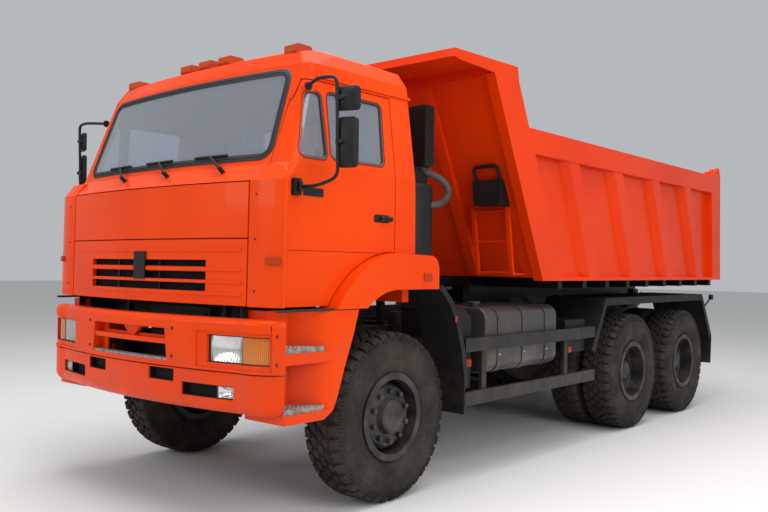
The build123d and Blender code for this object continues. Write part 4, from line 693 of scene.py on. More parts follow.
def hexagon_block(middle):
    """One tapered hexagonal block with a softened top edge."""
    rings = []
    for grow, height in ((1.13, GROOVE_FLOOR - 0.004), (1.0, TYRE_R - 0.003), (0.92, TYRE_R - 0.0008)):
        ring = []
        for i in range(6):
            angle = math.pi / 3 * i + math.pi / 6
            ring.append((middle + HEXAGON_ACROSS * grow * math.cos(angle),
                         HEXAGON_ALONG * grow * math.sin(angle), height))
        rings.append(ring)
    return prism_block("hexagon_block", rings)


SHOULDER = [  # distance from the middle plane, half length along the tread, top, root
    (0.0760, 0.006, 0.5585, 0.540),
    (0.0920, 0.029, 0.5600, 0.540),
    (0.1220, 0.031, 0.5560, 0.528),
    (0.1330, 0.030, 0.5490, 0.520),
    (0.1400, 0.029, 0.5330, 0.510),
]
FIN_HALF = 0.0062
FINS = (-0.0215, 0.0, 0.0215)
FIN_SECTIONS = [  # distance from the middle plane, share of the half width, outer and inner radius
    (0.1380, 1.0, 0.541, 0.505), (0.1475, 0.9, 0.526, 0.496), (0.1502, 0.75, 0.508, 0.494)]


def shoulder_block():
    """One pentagonal shoulder block and the three fins under its outer end."""
    rings = []
    for x, half, top, root in SHOULDER:
        rings.append([(x, -half * 1.1, root), (x, half * 1.1, root), (x, half, top - 0.002), (x, half - 0.003, top),
                      (x, 0.003 - half, top), (x, -half, top - 0.002)])
    parts = [prism_block("shoulder_block", rings)]
    for y in FINS:
        rings = []
        for x, share, high, low in FIN_SECTIONS:
            w = FIN_HALF * share
            rings.append([(x, y - w, low), (x, y + w, low), (x, y + w, high), (x, y - w, high)])
        parts.append(prism_block("shoulder_fin", rings))
    return joined("shoulder_block", parts, 20)


def tyre():
    """A whole tyre about X, centred on its own middle plane."""
    profile = SIDE_PROFILE + [(-x, r) for x, r in reversed(SIDE_PROFILE[:-1])]
    carcass = lathe("carcass", profile, 132)
    carcass.materials.append(tyre_rubber)
    pitch = 2 * math.pi / BLOCKS_ROUND
    left = grown(RING, shoulder_block(), tyre_rubber, Count=BLOCKS_ROUND)
    right = shifted(left, MIRROR)
    right.transform(Matrix.Rotation(pitch / 2, 4, "X"))
    rows = [(-HEXAGON_ROW, 0.0), (0.0, pitch / 2), (HEXAGON_ROW, 0.0)]
    blocks = [grown(RING, hexagon_block(x), tyre_rubber, Count=BLOCKS_ROUND, First_Angle=turn) for x, turn in rows]
    return joined("tyre", [carcass, left, right] + blocks, 28)


one_tyre = tyre()
FRONT_TRACK_HALF, TWIN_CENTRE, TWIN_OFFSET = 1.040, 0.930, 0.175
AXLES = {"front": 0, "second": 3600, "third": 4920}
for axle, station in AXLES.items():
    for side, sign in SIDES:
        if axle == "front":
            node, body, places = f"front_{side}_tyre", f"front_wheel_{side}", [sign * FRONT_TRACK_HALF]
        else:
            node, body = f"{axle}_{side}_tyres", f"{axle}_wheels_{side}"
            places = [sign * (TWIN_CENTRE + offset) for offset in (-TWIN_OFFSET, TWIN_OFFSET)]
        copies = []
        for i, x in enumerate(places):
            turn = Matrix.Rotation(0.35 * (i + 1) + 0.21 * station / 1000, 4, "X")
            copies.append(shifted(one_tyre, Matrix.Translation(at(1000 * x, station, 561)) @ turn))
        piece(f"{axle}_{side}_treaded", joined("treaded", copies, 28), body, stands_for=[node])
print("ten tyres of", len(one_tyre.polygons), "faces each")

# %% [markdown]
# Seals, screens and lenses have to lie on curved panels. Rather than repeat the panels' formulas, each place is
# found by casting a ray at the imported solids, so a seal always sits on the very surface that it seals.

# %% Places on the solids


def surface(*nodes):
    """One search tree over the faces of several nodes."""
    points, faces = [], []
    for node in nodes:
        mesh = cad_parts[node].data
        start = len(points)
        points += [v.co.copy() for v in mesh.vertices]
        faces += [[start + i for i in poly.vertices] for poly in mesh.polygons]
    return BVHTree.FromPolygons(points, faces)


def struck(tree, start, direction):
    """The first place that a ray meets, or None."""
    return tree.ray_cast(Vector(start), Vector(direction).normalized())[0]


def oblong(u_span, v_span):
    """A rectangle's corners, from two spans."""
    (u0, u1), (v0, v1) = u_span, v_span
    return [Vector((u0, v0)), Vector((u1, v0)), Vector((u1, v1)), Vector((u0, v1))]


def rounded(corners, radius, steps=7):
    """A closed outline with each corner turned into an arc of short runs."""
    outline = []
    for i, corner in enumerate(corners):
        here = Vector(corner)
        back = (Vector(corners[i - 1]) - here).normalized()
        onward = (Vector(corners[(i + 1) % len(corners)]) - here).normalized()
        half = back.angle(onward) / 2
        reach, centre = radius / math.tan(half), here + (back + onward).normalized() * radius / math.sin(half)
        a, b = here + back * reach - centre, here + onward * reach - centre
        start, sweep = math.atan2(a.y, a.x), a.angle_signed(b)
        angles = [start - sweep * k / steps for k in range(steps + 1)]
        outline += [centre + radius * Vector((math.cos(t), math.sin(t))) for t in angles]
    return outline


def filled(outline, gap=0.04):
    """The same outline with extra points on its long runs."""
    result = []
    for i, here in enumerate(outline):
        after = outline[(i + 1) % len(outline)]
        count = max(1, int((after - here).length / gap))
        result += [here.lerp(after, k / count) for k in range(count)]
    return result


def grown_outline(outline, distance):
    """An outline pushed outwards, or inwards for a negative distance."""
    centre = sum(outline, Vector((0, 0))) / len(outline)
    result = []
    for i, here in enumerate(outline):
        run = (outline[(i + 1) % len(outline)] - outline[i - 1]).normalized()
        normal = Vector((run.y, -run.x))
        if normal.dot(here - centre) < 0:
            normal = -normal
        result.append(here + normal * distance)
    return result


def banded_ring(name, sections):
    """A closed ring skinned over equal cross sections, each a list of points."""
    count, n = len(sections), len(sections[0])
    points = [p for section in sections for p in section]
    faces = [(i * n + j, (i + 1) % count * n + j, (i + 1) % count * n + (j + 1) % n, i * n + (j + 1) % n)
             for i in range(count) for j in range(n)]
    return smooth_mesh(name, points, faces, 50)


def rubber_seal(name, outline, trees, cast, width=0.026, height=0.009):
    """A moulded seal over a pane's edge: its feet lie on the pane and on the panel, its back is rounded."""
    inner_tree, outer_tree = trees
    outline = filled(outline)
    inner, outer = grown_outline(outline, -width / 2), grown_outline(outline, width / 2)
    direction = cast((0, 0))[1]
    sections = []
    for a, b in zip(inner, outer):
        foot_a = struck(inner_tree, *cast(a))
        foot_b = struck(outer_tree, *cast(b)) or foot_a
        if foot_a is None or foot_b is None:
            continue
        if abs((foot_b - foot_a).dot(direction)) > 0.02:
            foot_b = foot_b + direction * (foot_a - foot_b).dot(direction)
        lift = -direction * height
        section = [foot_a - lift * 0.4]
        for share, rise in ((0.0, 0.35), (0.15, 0.8), (0.5, 1.0), (0.85, 0.8), (1.0, 0.35)):
            section.append(foot_a.lerp(foot_b, share) + lift * rise)
        section.append(foot_b - lift * 0.4)
        sections.append(section)
    return banded_ring(name, sections)


print("ray helpers ready")

# %% [markdown]
# The windscreen sits in a thick black rubber with a thinner locking strip in its groove, and the door panes in
# slimmer ones. The outlines are the panes' own: a tapered shape with generous corners for the windscreen, a
# wedge and a rectangle for the door.

# %% Window seals
WINDSCREEN = [(-0.992, 2.196), (0.992, 2.196), (0.955, 2.745), (-0.955, 2.745)]
FRONT_Y = at(0, -3000, 0).y


def from_ahead(place):
    """A ray from ahead of the truck towards a place across and a height."""
    return Vector((place[0], FRONT_Y, place[1])), Vector((0, 1, 0))


def from_beside(sign):
    """Rays from the left (1) or the right (-1), towards a station from the front axle and a height."""
    def cast(place):
        return Vector((sign * 3, place[0] - MIDDLE, place[1])), Vector((-sign, 0, 0))

    return cast


glass_front = surface("cab_glass")
cab_skin = surface("cab_front", "cab_roof")
screen_line = rounded(WINDSCREEN, 0.07)
seal = rubber_seal("windscreen_rubber", screen_line, (glass_front, cab_skin), from_ahead, 0.042, 0.010)
piece("windscreen_rubber", seal, "cab", seal_rubber)
strip = rubber_seal("locking_strip", screen_line, (glass_front, cab_skin), from_ahead, 0.013, 0.0135)
piece("windscreen_locking_strip", strip, "cab", black_plastic)
DOOR_PANES = {
    "quarter": [(-0.872, 2.198), (-0.640, 2.198), (-0.655, 2.605), (-0.770, 2.605)],
    "main": [(-0.600, 2.208), (-0.112, 2.208), (-0.096, 2.620), (-0.600, 2.620)],
}
for side, sign in SIDES:
    trees = surface(f"{side}_door_glass"), surface(f"{side}_door")
    for pane, corners in DOOR_PANES.items():
        seal = rubber_seal(f"{side}_{pane}_rubber", rounded(corners, 0.038), trees, from_beside(sign), 0.021, 0.006)
        piece(f"{side}_{pane}_rubber", seal, f"door_{side}", seal_rubber)
print("six seals")

# %% [markdown]
# The head lamps are deep glass blocks with a clear part and an amber part in a black bezel. Each is a thin
# fluted lens over a bowl of bright reflector, because a solid block of one colour never looks like a lamp. Lens
# and bowl are sheets drawn over the same grid of rays, so both follow the bumper's curve.

# %% Lamp finishes
lens_glass = finish("fluted_lens_glass", (0.97, 0.97, 0.96), 0.03, Transmission_Weight=0.92, IOR=1.45,
                    Coat_Weight=0.4)
bump(lens_glass, flutes(lens_glass, 22), 0.0012, 0.55)
reflector = finish("lamp_reflector", (0.9, 0.89, 0.87), 0.12, Metallic=1.0)
uneven_gloss(reflector, 40, 3, (0.3, 0.7), (0.06, 0.2))
bump(reflector, flutes(reflector, 14), 0.002, 0.5)
amber_block = finish("amber_lens_block", (0.93, 0.28, 0.015), 0.08, Transmission_Weight=0.35, IOR=1.45,
                     Coat_Weight=0.8, Coat_Roughness=0.04)
feed(amber_block, "Base Color", blend_colours(amber_block, flutes(amber_block, 30), (0.95, 0.33, 0.02),
                                              (0.72, 0.16, 0.006)))
bump(amber_block, flutes(amber_block, 30), 0.0015, 0.7)
red_block = finish("red_lens_block", (0.4, 0.006, 0.004), 0.2, Coat_Weight=0.2, Coat_Roughness=0.04,
                   Specular_IOR_Level=0.25)
feed(red_block, "Base Color", blend_colours(red_block, flutes(red_block, 30), (0.42, 0.006, 0.004),
                                            (0.24, 0.003, 0.002)))
bump(red_block, flutes(red_block, 30), 0.0015, 0.7)
print("lamp finishes ready")

# %% [markdown]
# Head lamp, indicator and fog lamp differ only in size and glass, so one table and two functions make them all.
# A third function skins the black bezel round each opening, with its feet on the lamp's own face.

# %% Head lamps and fog lamps
lamp_tree = surface("chassis_lamps")


def lens_sheet(name, x_span, z_span, depth, thick, columns=12, rows=6):
    """A thin curved sheet over a lamp; depth(u, v) is how far behind the lamp's face each place lies."""
    points, faces = [], []
    for back in (0.0, thick):
        for j in range(rows + 1):
            for i in range(columns + 1):
                u, v = i / columns, j / rows
                x, z = x_span[0] + u * (x_span[1] - x_span[0]), z_span[0] + v * (z_span[1] - z_span[0])
                inside_x = min(max(x, min(x_span) + 0.002), max(x_span) - 0.002)
                inside_z = min(max(z, z_span[0] + 0.002), z_span[1] - 0.002)
                face = struck(lamp_tree, *from_ahead((inside_x, inside_z)))
                points.append((x, face.y + depth(u, v) + back, z))
    width, layer = columns + 1, (columns + 1) * (rows + 1)
    for j in range(rows):
        for i in range(columns):
            a = j * width + i
            faces.append((a, a + 1, a + width + 1, a + width))
            faces.append((layer + a, layer + a + width, layer + a + width + 1, layer + a + 1))
    rim = [i for i in range(width)] + [j * width + columns for j in range(1, rows + 1)]
    rim += [rows * width + i for i in range(columns - 1, -1, -1)] + [j * width for j in range(rows - 1, 0, -1)]
    for k, a in enumerate(rim):
        b = rim[(k + 1) % len(rim)]
        faces.append((a, b, b + layer, a + layer))
    return smooth_mesh(name, points, faces, 60)


def bezel(name, x_span, z_span, rim, proud):
    """A black frame round a lamp, as wide as rim and standing proud of the lens."""
    sections = []
    for place in filled(oblong(x_span, z_span), 0.05):
        away = Vector((0.0, 0.0))
        for k, (start, end) in enumerate((x_span, z_span)):
            offset = place[k] - (start + end) / 2
            if abs(offset) >= abs(end - start) / 2 - 1e-6:
                away[k] = math.copysign(1, offset)
        inside = place - away * 0.004
        face = struck(lamp_tree, *from_ahead(inside)) or struck(lamp_tree, *from_ahead(inside - away * 0.006))
        if face is None:
            continue
        low, high = face.y + 0.03, face.y - proud
        near, far = place - away * rim * 0.45, place + away * rim * 0.55
        sections.append([Vector((near.x, low, near.y)), Vector((near.x, high + 0.001, near.y)),
                         Vector((place.x, high, place.y)), Vector((far.x, high + 0.002, far.y)),
                         Vector((far.x, low, far.y))])
    return banded_ring(name, sections)


def bowl(u, v):
    """A reflector's depth: two thirds of a parabola each way."""
    return 0.008 + 0.024 * (1 - (2 * u - 1) ** 2) * (1 - (2 * v - 1) ** 2)


LAMPS = [  # name, inner and outer end, lowest and highest, lens finish
    ("head", (0.761, 0.999), (0.986, 1.137), lens_glass),
    ("indicator", (1.007, 1.182), (0.986, 1.137), amber_block),
    ("fog", (0.824, 0.951), (0.778, 0.844), lens_glass),
]
BEZELS = [((0.757, 1.185), (0.983, 1.140), 0.009, 0.004),      # ends, heights, width, how far it stands proud
          ((0.823, 0.953), (0.776, 0.846), 0.006, 0.003)]
for side, sign in SIDES:
    clear, bright, orange_lens = [], [], []
    for name, ends, heights, mat in LAMPS:
        x_span = tuple(sign * x for x in ends)
        lens = lens_sheet(name, x_span, heights, lambda u, v: 0.0, 0.003)
        (orange_lens if mat is amber_block else clear).append(lens)
        bright.append(lens_sheet(name + "_bowl", x_span, heights, bowl, 0.001))
    piece(f"{side}_lamp_lenses", joined("lenses", clear), "chassis", lens_glass, ["chassis_lamps"])
    piece(f"{side}_lamp_reflectors", joined("reflectors", bright), "chassis", reflector)
    piece(f"{side}_indicator_lens", joined("indicator", orange_lens), "chassis", amber_block)
    frames = [bezel("frame", tuple(sorted(sign * x for x in ends)), heights, rim, proud)
              for ends, heights, rim, proud in BEZELS]
    piece(f"{side}_lamp_bezels", joined("bezels", frames), "chassis", black_plastic)
print("four head and fog lamps")

# %% [markdown]
# The tail lamps are plain red blocks, so their own solids serve as they are. They share a node with the front
# lamps, and are picked out of it by their place behind the middle of the truck.

# %% Tail lamps
red_meshes = [mesh for mesh, low, high in solids_of("chassis_lamps") if low.y > 0]
piece("tail_lamps", joined("tail_lamps", red_meshes), "chassis", red_block)
print(len(red_meshes), "tail lamps")

# %% [markdown]
# The steps and the bumper's deck are pressed chequer plate: bright, scuffed aluminium with a pattern of raised
# lozenges that turn a quarter from one to the next. One lozenge is drawn, and the points tree lays it out, half
# of the copies turned one way and half the other, wherever a ray finds the tread under it. The tread's own solid
# is taken out of its node, so that it can be metal while the shell stays orange.

# %% Chequer plate
LOZENGE_LONG, LOZENGE_WIDE, LOZENGE_HIGH = 0.0105, 0.0034, 0.0016


def lozenge():
    """A raised bar with pointed ends and sloping flanks."""
    foot = [(LOZENGE_LONG, 0), (0.3 * LOZENGE_LONG, LOZENGE_WIDE), (-0.3 * LOZENGE_LONG, LOZENGE_WIDE),
            (-LOZENGE_LONG, 0), (-0.3 * LOZENGE_LONG, -LOZENGE_WIDE), (0.3 * LOZENGE_LONG, -LOZENGE_WIDE)]
    rings = [[(x, y, 0) for x, y in foot], [(0.75 * x, 0.55 * y, LOZENGE_HIGH) for x, y in foot]]
    return prism_block("lozenge", rings)


def chequered(mesh, low, high, gap=0.0175, margin=0.010):
    """Raised lozenges over a tread's top, wherever the tread is under the whole lozenge."""
    points, faces = [v.co.copy() for v in mesh.vertices], [list(poly.vertices) for poly in mesh.polygons]
    tread = BVHTree.FromPolygons(points, faces)
    turned = ([], [])
    for i in range(int((high.x - low.x) / gap) + 1):
        for j in range(int((high.y - low.y) / gap) + 1):
            place = Vector((low.x + (i + 0.5) * gap, low.y + (j + 0.5) * gap, high.z + 0.01))
            edges = [place + Vector((x, y, 0)) for x in (-margin, margin) for y in (-margin, margin)]
            hits = [struck(tread, edge, (0, 0, -1)) for edge in edges]
            if all(hit is not None and hit.z > high.z - 0.001 for hit in hits):
                turned[(i + j) % 2].append(Vector((place.x, place.y, high.z)))
    return [grown(POINTS, lozenge(), aluminium, places, Turn=(0.0, 0.0, angle))
            for places, angle in zip(turned, (math.pi / 4, -math.pi / 4))]


TREAD_THICKNESS = 0.05      # a flatter solid than this is a tread, the rest are shells
for node, shell_name, tread_name in (("step_fenders", "step_shells", "step_treads"),
                                     ("bumper", "bumper_shells", "bumper_deck")):
    tread_parts, shell_parts = [], []
    for mesh, low, high in solids_of(node):
        if high.z - low.z < TREAD_THICKNESS:
            tread_parts += [mesh] + chequered(mesh, low, high)
        else:
            shell_parts.append(mesh)
    piece(shell_name, joined(shell_name, shell_parts), "chassis", enamel, [node])
    piece(tread_name, joined(tread_name, tread_parts), "chassis", aluminium)
    print(shell_name, len(shell_parts), "and", tread_name, len(tread_parts) // 3)

# %% [markdown]
# The grille is one bowed panel with three rows of slots. Its two uprights are orange, but inside the slots they
# stand back in shade, so a mask on the panel's own coordinates paints them near black there: painted shade, without
# cutting the mesh. The badge is a blank black plate.

# %% Grille and blank badge
BADGE_WIDTH = 0.2
UPRIGHTS, UPRIGHT_HALF = (-0.284, 0.190), 0.0095
SLOT_ROWS = ((1.3895, 1.4385), (1.4585, 1.5075), (1.5375, 1.5775))
grille_parts = solids_of("grille_panel")
badge_parts = [mesh for mesh, low, high in grille_parts if high.x - low.x < BADGE_WIDTH]
panel_parts = [mesh for mesh, low, high in grille_parts if high.x - low.x >= BADGE_WIDTH]
grille_enamel, painted = variant(enamel, "grille_enamel")
across, upright = axis_value(grille_enamel, "X"), 0.0
for middle in UPRIGHTS:
    offset = maths(grille_enamel, "ABSOLUTE", maths(grille_enamel, "SUBTRACT", across, middle))
    upright = maths(grille_enamel, "ADD", upright, maths(grille_enamel, "LESS_THAN", offset, UPRIGHT_HALF))
height = axis_value(grille_enamel, "Z")
in_rows = 0.0
for low, high in SLOT_ROWS:
    above = maths(grille_enamel, "GREATER_THAN", height, low)
    row = maths(grille_enamel, "MULTIPLY", above, maths(grille_enamel, "LESS_THAN", height, high))
    in_rows = maths(grille_enamel, "ADD", in_rows, row)
# painted shade: near black where an upright crosses a slot row
upright_painted_shade = maths(grille_enamel, "MULTIPLY", upright, in_rows)
feed(grille_enamel, "Base Color", blend_colours(grille_enamel, upright_painted_shade, painted, (0.006, 0.006, 0.006)))
piece("grille_shell", joined("grille_shell", panel_parts), "cab", grille_enamel, ["grille_panel"])
piece("blank_badge", joined("blank_badge", badge_parts), "cab", black_plastic)
print("grille and a blank badge")

# %% [markdown]
# Behind every slot lies painted shade: a near-black screen with a pattern of mesh holes behind the grille, and
# near-black liners in the lamp and tow openings, which stand for the shade inside them. Without them the eye would
# meet orange sheet inside the slots. Each liner is a shallow tray that opens forward and lies just inside its
# opening.

# %% Grille screen and liners
# painted shade: the screen stands for the shade behind the grille's slots
screen_mesh = finish("painted_shade_screen", (0.004, 0.004, 0.004), 0.8, Specular_IOR_Level=0.15)
holes = span(screen_mesh, cells(screen_mesh, 150), 0.25, 0.5)
feed(screen_mesh, "Base Color", blend_colours(screen_mesh, holes, (0.001, 0.001, 0.001), (0.007, 0.007, 0.007)))
bump(screen_mesh, holes, 0.0015, 0.8)
# painted shade: the liners stand for the shade inside the lamp and tow openings
painted_shade_liner = finish("painted_shade_liner", (0.008, 0.008, 0.008), 0.8, Specular_IOR_Level=0.2)
feed(painted_shade_liner, "Base Color", blend_colours(painted_shade_liner, noise(painted_shade_liner, 40, 4), (0.005, 0.005, 0.005),
                                              (0.014, 0.013, 0.012)))
bump(painted_shade_liner, noise(painted_shade_liner, 200, 3), 0.0006, 0.5)


def tray(name, ends, heights, fronts, backs, wall=0.003):
    """An open tray facing forward: four thin walls and a floor; each end has its own front and back station."""
    z0, z1 = heights
    rings = []
    for inset, stations, push in ((0, backs, 0), (0, fronts, 0), (wall, fronts, 0), (wall, backs, -wall)):
        a = ends[0] + math.copysign(inset, ends[1] - ends[0])
        b = ends[1] - math.copysign(inset, ends[1] - ends[0])
        rings.append([Vector((a, stations[0] + push, z0 + inset)), Vector((b, stations[1] + push, z0 + inset)),
                      Vector((b, stations[1] + push, z1 - inset)), Vector((a, stations[0] + push, z1 - inset))])
    points = [p for ring in rings for p in ring]
    faces = [(0, 1, 2, 3), (12, 13, 14, 15)]
    for k in range(3):
        for i in range(4):
            j = (i + 1) % 4
            faces.append((k * 4 + i, k * 4 + j, k * 4 + 4 + j, k * 4 + 4 + i))
    return smooth_mesh(name, points, faces, 30)


wall_tree = surface("cab_front")
screen_points, screen_faces = [], []
SCREEN_COLUMNS, SCREEN_ROWS = 24, 3
SCREEN_LEFT, SCREEN_WIDTH = -0.672, 1.344
SCREEN_LOW, SCREEN_HEIGHT = 1.372, 0.222
SCREEN_AHEAD, SCREEN_THICK = 0.012, 0.002
for back in (0.0, SCREEN_THICK):
    for j in range(SCREEN_ROWS + 1):
        for i in range(SCREEN_COLUMNS + 1):
            x = SCREEN_LEFT + SCREEN_WIDTH * i / SCREEN_COLUMNS
            z = SCREEN_LOW + SCREEN_HEIGHT * j / SCREEN_ROWS
            hit = struck(wall_tree, *from_ahead((x, z)))
            screen_points.append((x, hit.y - SCREEN_AHEAD + back, z))
across = SCREEN_COLUMNS + 1
layer = across * (SCREEN_ROWS + 1)
for j in range(SCREEN_ROWS):
    for i in range(SCREEN_COLUMNS):
        a = j * across + i
        screen_faces.append((a, a + 1, a + across + 1, a + across))
        screen_faces.append((layer + a, layer + a + across, layer + a + across + 1, layer + a + 1))
piece("grille_screen", smooth_mesh("grille_screen", screen_points, screen_faces, 60, False), "cab", screen_mesh)
bumper_tree = surface("bumper")
LINERS = [  # inner and outer end, lowest and highest, how far the tray reaches back from the face
    ((0.5535, 0.820), (0.7735, 0.8485), 0.055),
    ((0.2485, 0.4815), (0.8435, 0.9165), 0.050),
]
for side, sign in SIDES:
    trays = []
    for ends, heights, depth in LINERS:
        rims = [struck(bumper_tree, *from_ahead((sign * (end + d), heights[0] - 0.01)))
                for end, d in zip(ends, (-0.002, 0.002))]
        trays.append(tray("liner", [sign * end for end in ends], heights, [rim.y + 0.010 for rim in rims],
                          [rim.y + depth for rim in rims]))
    piece(f"{side}_bumper_liners", joined("liners", trays), "chassis", painted_shade_liner)
print("screen and liners")

# %% [markdown]
# Screws are dark dimples that give a panel its scale. One cap screw is turned, and the points tree puts it at
# each place, found by a ray on the panel.

# %% Screws on bumper and vanes
def cap_screw(radius=0.009, height=0.004):
    """A domed screw head with a hexagon socket, facing forward."""
    profile = [(0.0, radius), (height * 0.6, radius), (height, radius * 0.75), (height, radius * 0.42)]
    points, faces, steps = [], [], 18
    for x, r in profile:
        for i in range(steps):
            angle = 2 * math.pi * i / steps
            points.append((r * math.cos(angle), -x, r * math.sin(angle)))
    for x, r in ((height, radius * 0.42), (height * 0.3, radius * 0.40)):
        for i in range(steps):
            angle = 2 * math.pi * (i // 3 * 3) / steps
            points.append((r * math.cos(angle), -x, r * math.sin(angle)))
    for k in range(5):
        for i in range(steps):
            j = (i + 1) % steps
            faces.append((k * steps + i, k * steps + j, (k + 1) * steps + j, (k + 1) * steps + i))
    faces.append(tuple(range(5 * steps, 6 * steps)))
    return smooth_mesh("cap_screw", points, faces, 30)


SCREWS = [  # piece, body, panel, places across and up, radius, height
    ("bumper_screws", "chassis", bumper_tree,
     [(0.470, 1.163), (0.470, 0.995), (1.222, 1.150), (1.222, 0.990)], 0.0105, 0.004),
    ("vane_screws", "cab", surface("corner_deflectors"), [(1.045, z) for z in (1.400, 1.700, 1.960)], 0.007, 0.003),
]
for name, body, panel, places, radius, height in SCREWS:
    hits = [struck(panel, *from_ahead((sign * x, z))) for x, z in places for sign in (1, -1)]
    hits = [hit for hit in hits if hit is not None]
    piece(name, grown(POINTS, cap_screw(radius, height), seal_rubber, hits), body)
    print(name, len(hits))

# %% [markdown]
# The mirrors need real glass: a bright pane in each head's rear face, inside the moulded rim.
# The door carries a black grip and, below the window, a plain black plate with nothing on it.

# %% Mirror panes, door grips and plates
def slab(name, u_span, v_span, radius, normal_axis, low, high, bevel=0.0015):
    """A rounded plate with softened front edges, thick along one axis from low to high."""
    outline = rounded(oblong(u_span, v_span), radius, 6)
    inner = grown_outline(outline, -bevel)
    rings = [(outline, low), (outline, high - math.copysign(bevel, high - low)), (inner, high)]

    def place(uv, w):
        return (w, uv[0], uv[1]) if normal_axis == "X" else (uv[0], w, uv[1])

    return prism_block(name, [[place(uv, w) for uv in ring] for ring, w in rings])


MIRROR_HEADS = [  # middle x, y, z, half width, half height, depth, corner, all as the solids have them
    ((1460, -785, 2514), 0.075, 0.071, 0.046, 0.024),
    ((1460, -782, 2262), 0.0625, 0.146, 0.052, 0.026),
]
HEAD_TURN = Matrix.Rotation(math.radians(20), 4, "Z")
HEAD_SECTIONS = [  # share of the outline, place along the depth
    (0.94, 0.46), (0.985, 0.5), (1.0, 0.44), (1.0, 0.12), (0.97, -0.06), (0.86, -0.2), (0.5, -0.36), (0.14, -0.47)]


def mirror_head(half_wide, half_high, depth, corner):
    """A moulded head: a round-cornered rim at the back and a shallow pyramid towards the front."""
    outline = rounded(oblong((-half_wide, half_wide), (-half_high, half_high)), corner, 6)
    rings = []
    for shrink, y in HEAD_SECTIONS:
        rings.append([(p.x * shrink, y * depth, p.y * (1 - (1 - shrink) * (1 if shrink > 0.9 else 0.93)))
                      for p in outline])
    return prism_block("mirror_head", rings)


def swept(name, line, radii, side, steps):
    """A closed tube along a line, with its own radius at each point; side is where its rings start."""
    rings = []
    for i, (here, radius) in enumerate(zip(line, radii)):
        run = (line[min(i + 1, len(line) - 1)] - line[max(i - 1, 0)]).normalized()
        side = (side - run * side.dot(run)).normalized()
        other = run.cross(side)
        rings.append([here + radius * (math.cos(t) * side + math.sin(t) * other)
                      for t in (2 * math.pi * k / steps for k in range(steps))])
    return prism_block(name, rings)


def tube(name, path, radius, rounds=10):
    """A bent rod with arcs at its corners, closed at both ends."""
    line = [path[0]]
    for i in range(1, len(path) - 1):
        before, here, after = path[i - 1], path[i], path[i + 1]
        reach = min(0.05, (before - here).length * 0.45, (after - here).length * 0.45)
        a, b = here + (before - here).normalized() * reach, here + (after - here).normalized() * reach
        line += [a.lerp(here, k / rounds).lerp(here.lerp(b, k / rounds), k / rounds) for k in range(rounds + 1)]
    line.append(path[-1])
    return swept(name, line, [radius] * len(line), Vector((0.3, 0.2, 1)).normalized(), 12)


ARM = [(1118, -770, 2630), (1290, -850, 2640), (1420, -832, 2636), (1420, -812, 2060), (1320, -880, 2010),
       (1200, -905, 2010)]
ARM_RADIUS = 0.0105
PANE_MARGIN = 0.010
CLAMP = [(-0.014, 0.010), (-0.014, 0.0175), (0.014, 0.0175), (0.014, 0.010)]      # along the axis, radius
BOSS = [(-0.012, 0.001), (-0.012, 0.013), (0.008, 0.016), (0.012, 0.012), (0.012, 0.001)]
FOOT = [(-0.004, 0.003), (-0.004, 0.024), (0.010, 0.026), (0.022, 0.018), (0.024, 0.003)]
KNUCKLE = [(-0.030, 0.001), (-0.030, 0.014), (0.030, 0.014), (0.036, 0.008), (0.036, 0.001)]
DOOR_PLATES = [  # name, stations from the front axle, heights, corner, inner and outer face, softened edge
    ("grip", (-0.153, -0.042), (1.849, 1.879), 0.012, 1.169, 1.194, 0.005),
    ("dish", (-0.215, -0.062), (1.838, 1.890), 0.02, 1.167, 1.1725, 0.002),
    ("plate", (-0.843, -0.677), (1.965, 2.015), 0.006, 1.169, 1.1745, 0.001),
]


def turned(name, profile, steps, place, angle=0.0, axis="Z"):
    """A turned fitting at a place, its axis swung away from X by an angle."""
    fitting = lathe(name, profile, steps)
    fitting.transform(Matrix.Translation(at(*place)) @ Matrix.Rotation(angle, 4, axis))
    return fitting


for side, sign in SIDES:
    heads, panes = [], []
    for (x, y, z), half_wide, half_high, depth, corner in MIRROR_HEADS:
        place = Matrix.Translation(at(x, y, z)) @ HEAD_TURN
        heads.append(shifted(mirror_head(half_wide, half_high, depth, corner), place))
        u, v = half_wide - PANE_MARGIN, half_high - PANE_MARGIN
        pane = slab("pane", (-u, u), (-v, v), corner - 0.006, "Y", depth * 0.3, depth * 0.47)
        panes.append(shifted(pane, place))
        arm_station = -822 + (2514 - z) * 0.04      # the arm leans back a little towards its foot
        heads.append(turned("clamp", CLAMP, 16, (1420, arm_station, z), math.pi / 2, "Y"))
        heads.append(turned("boss", BOSS, 16, (1446, -815, z), math.pi / 2))
    heads.append(tube("mirror_arm", [at(*p) for p in ARM], ARM_RADIUS))
    heads.append(turned("foot", FOOT, 20, (1121, -772, 2630)))
    bracket_span = -0.940 - MIDDLE, -0.880 - MIDDLE
    heads.append(slab("bracket", bracket_span, (1.960, 2.060), 0.008, "X", 1.1705, 1.1995, 0.003))
    heads.append(turned("knuckle", KNUCKLE, 16, (1212, -905, 2010), -math.pi / 2, "Y"))
    plates = [slab(name, [y - MIDDLE for y in stations], heights, corner, "X", inner, outer, edge)
              for name, stations, heights, corner, inner, outer, edge in DOOR_PLATES]
    sets = joined("mirror_set", heads, 30), joined("panes", panes), joined("furniture", plates)
    if sign < 0:
        sets = [shifted(mesh, MIRROR) for mesh in sets]
    piece(f"{side}_mirror_set", sets[0], f"door_{side}", black_plastic, [f"{side}_mirrors"])
    piece(f"{side}_mirror_panes", sets[1], f"door_{side}", mirror_glass)
    piece(f"{side}_door_furniture", sets[2], f"door_{side}", black_plastic)
print("mirror panes and door furniture")

# %% [markdown]
# A cab has padded seats, seen through the big windscreen. Each cushion starts as its solid's form, is remeshed
# evenly, then blown up a little as cloth under pressure, so its sides bulge and its corners pull in. The swell
# is capped and the result is applied, so the seats are the same on every run.

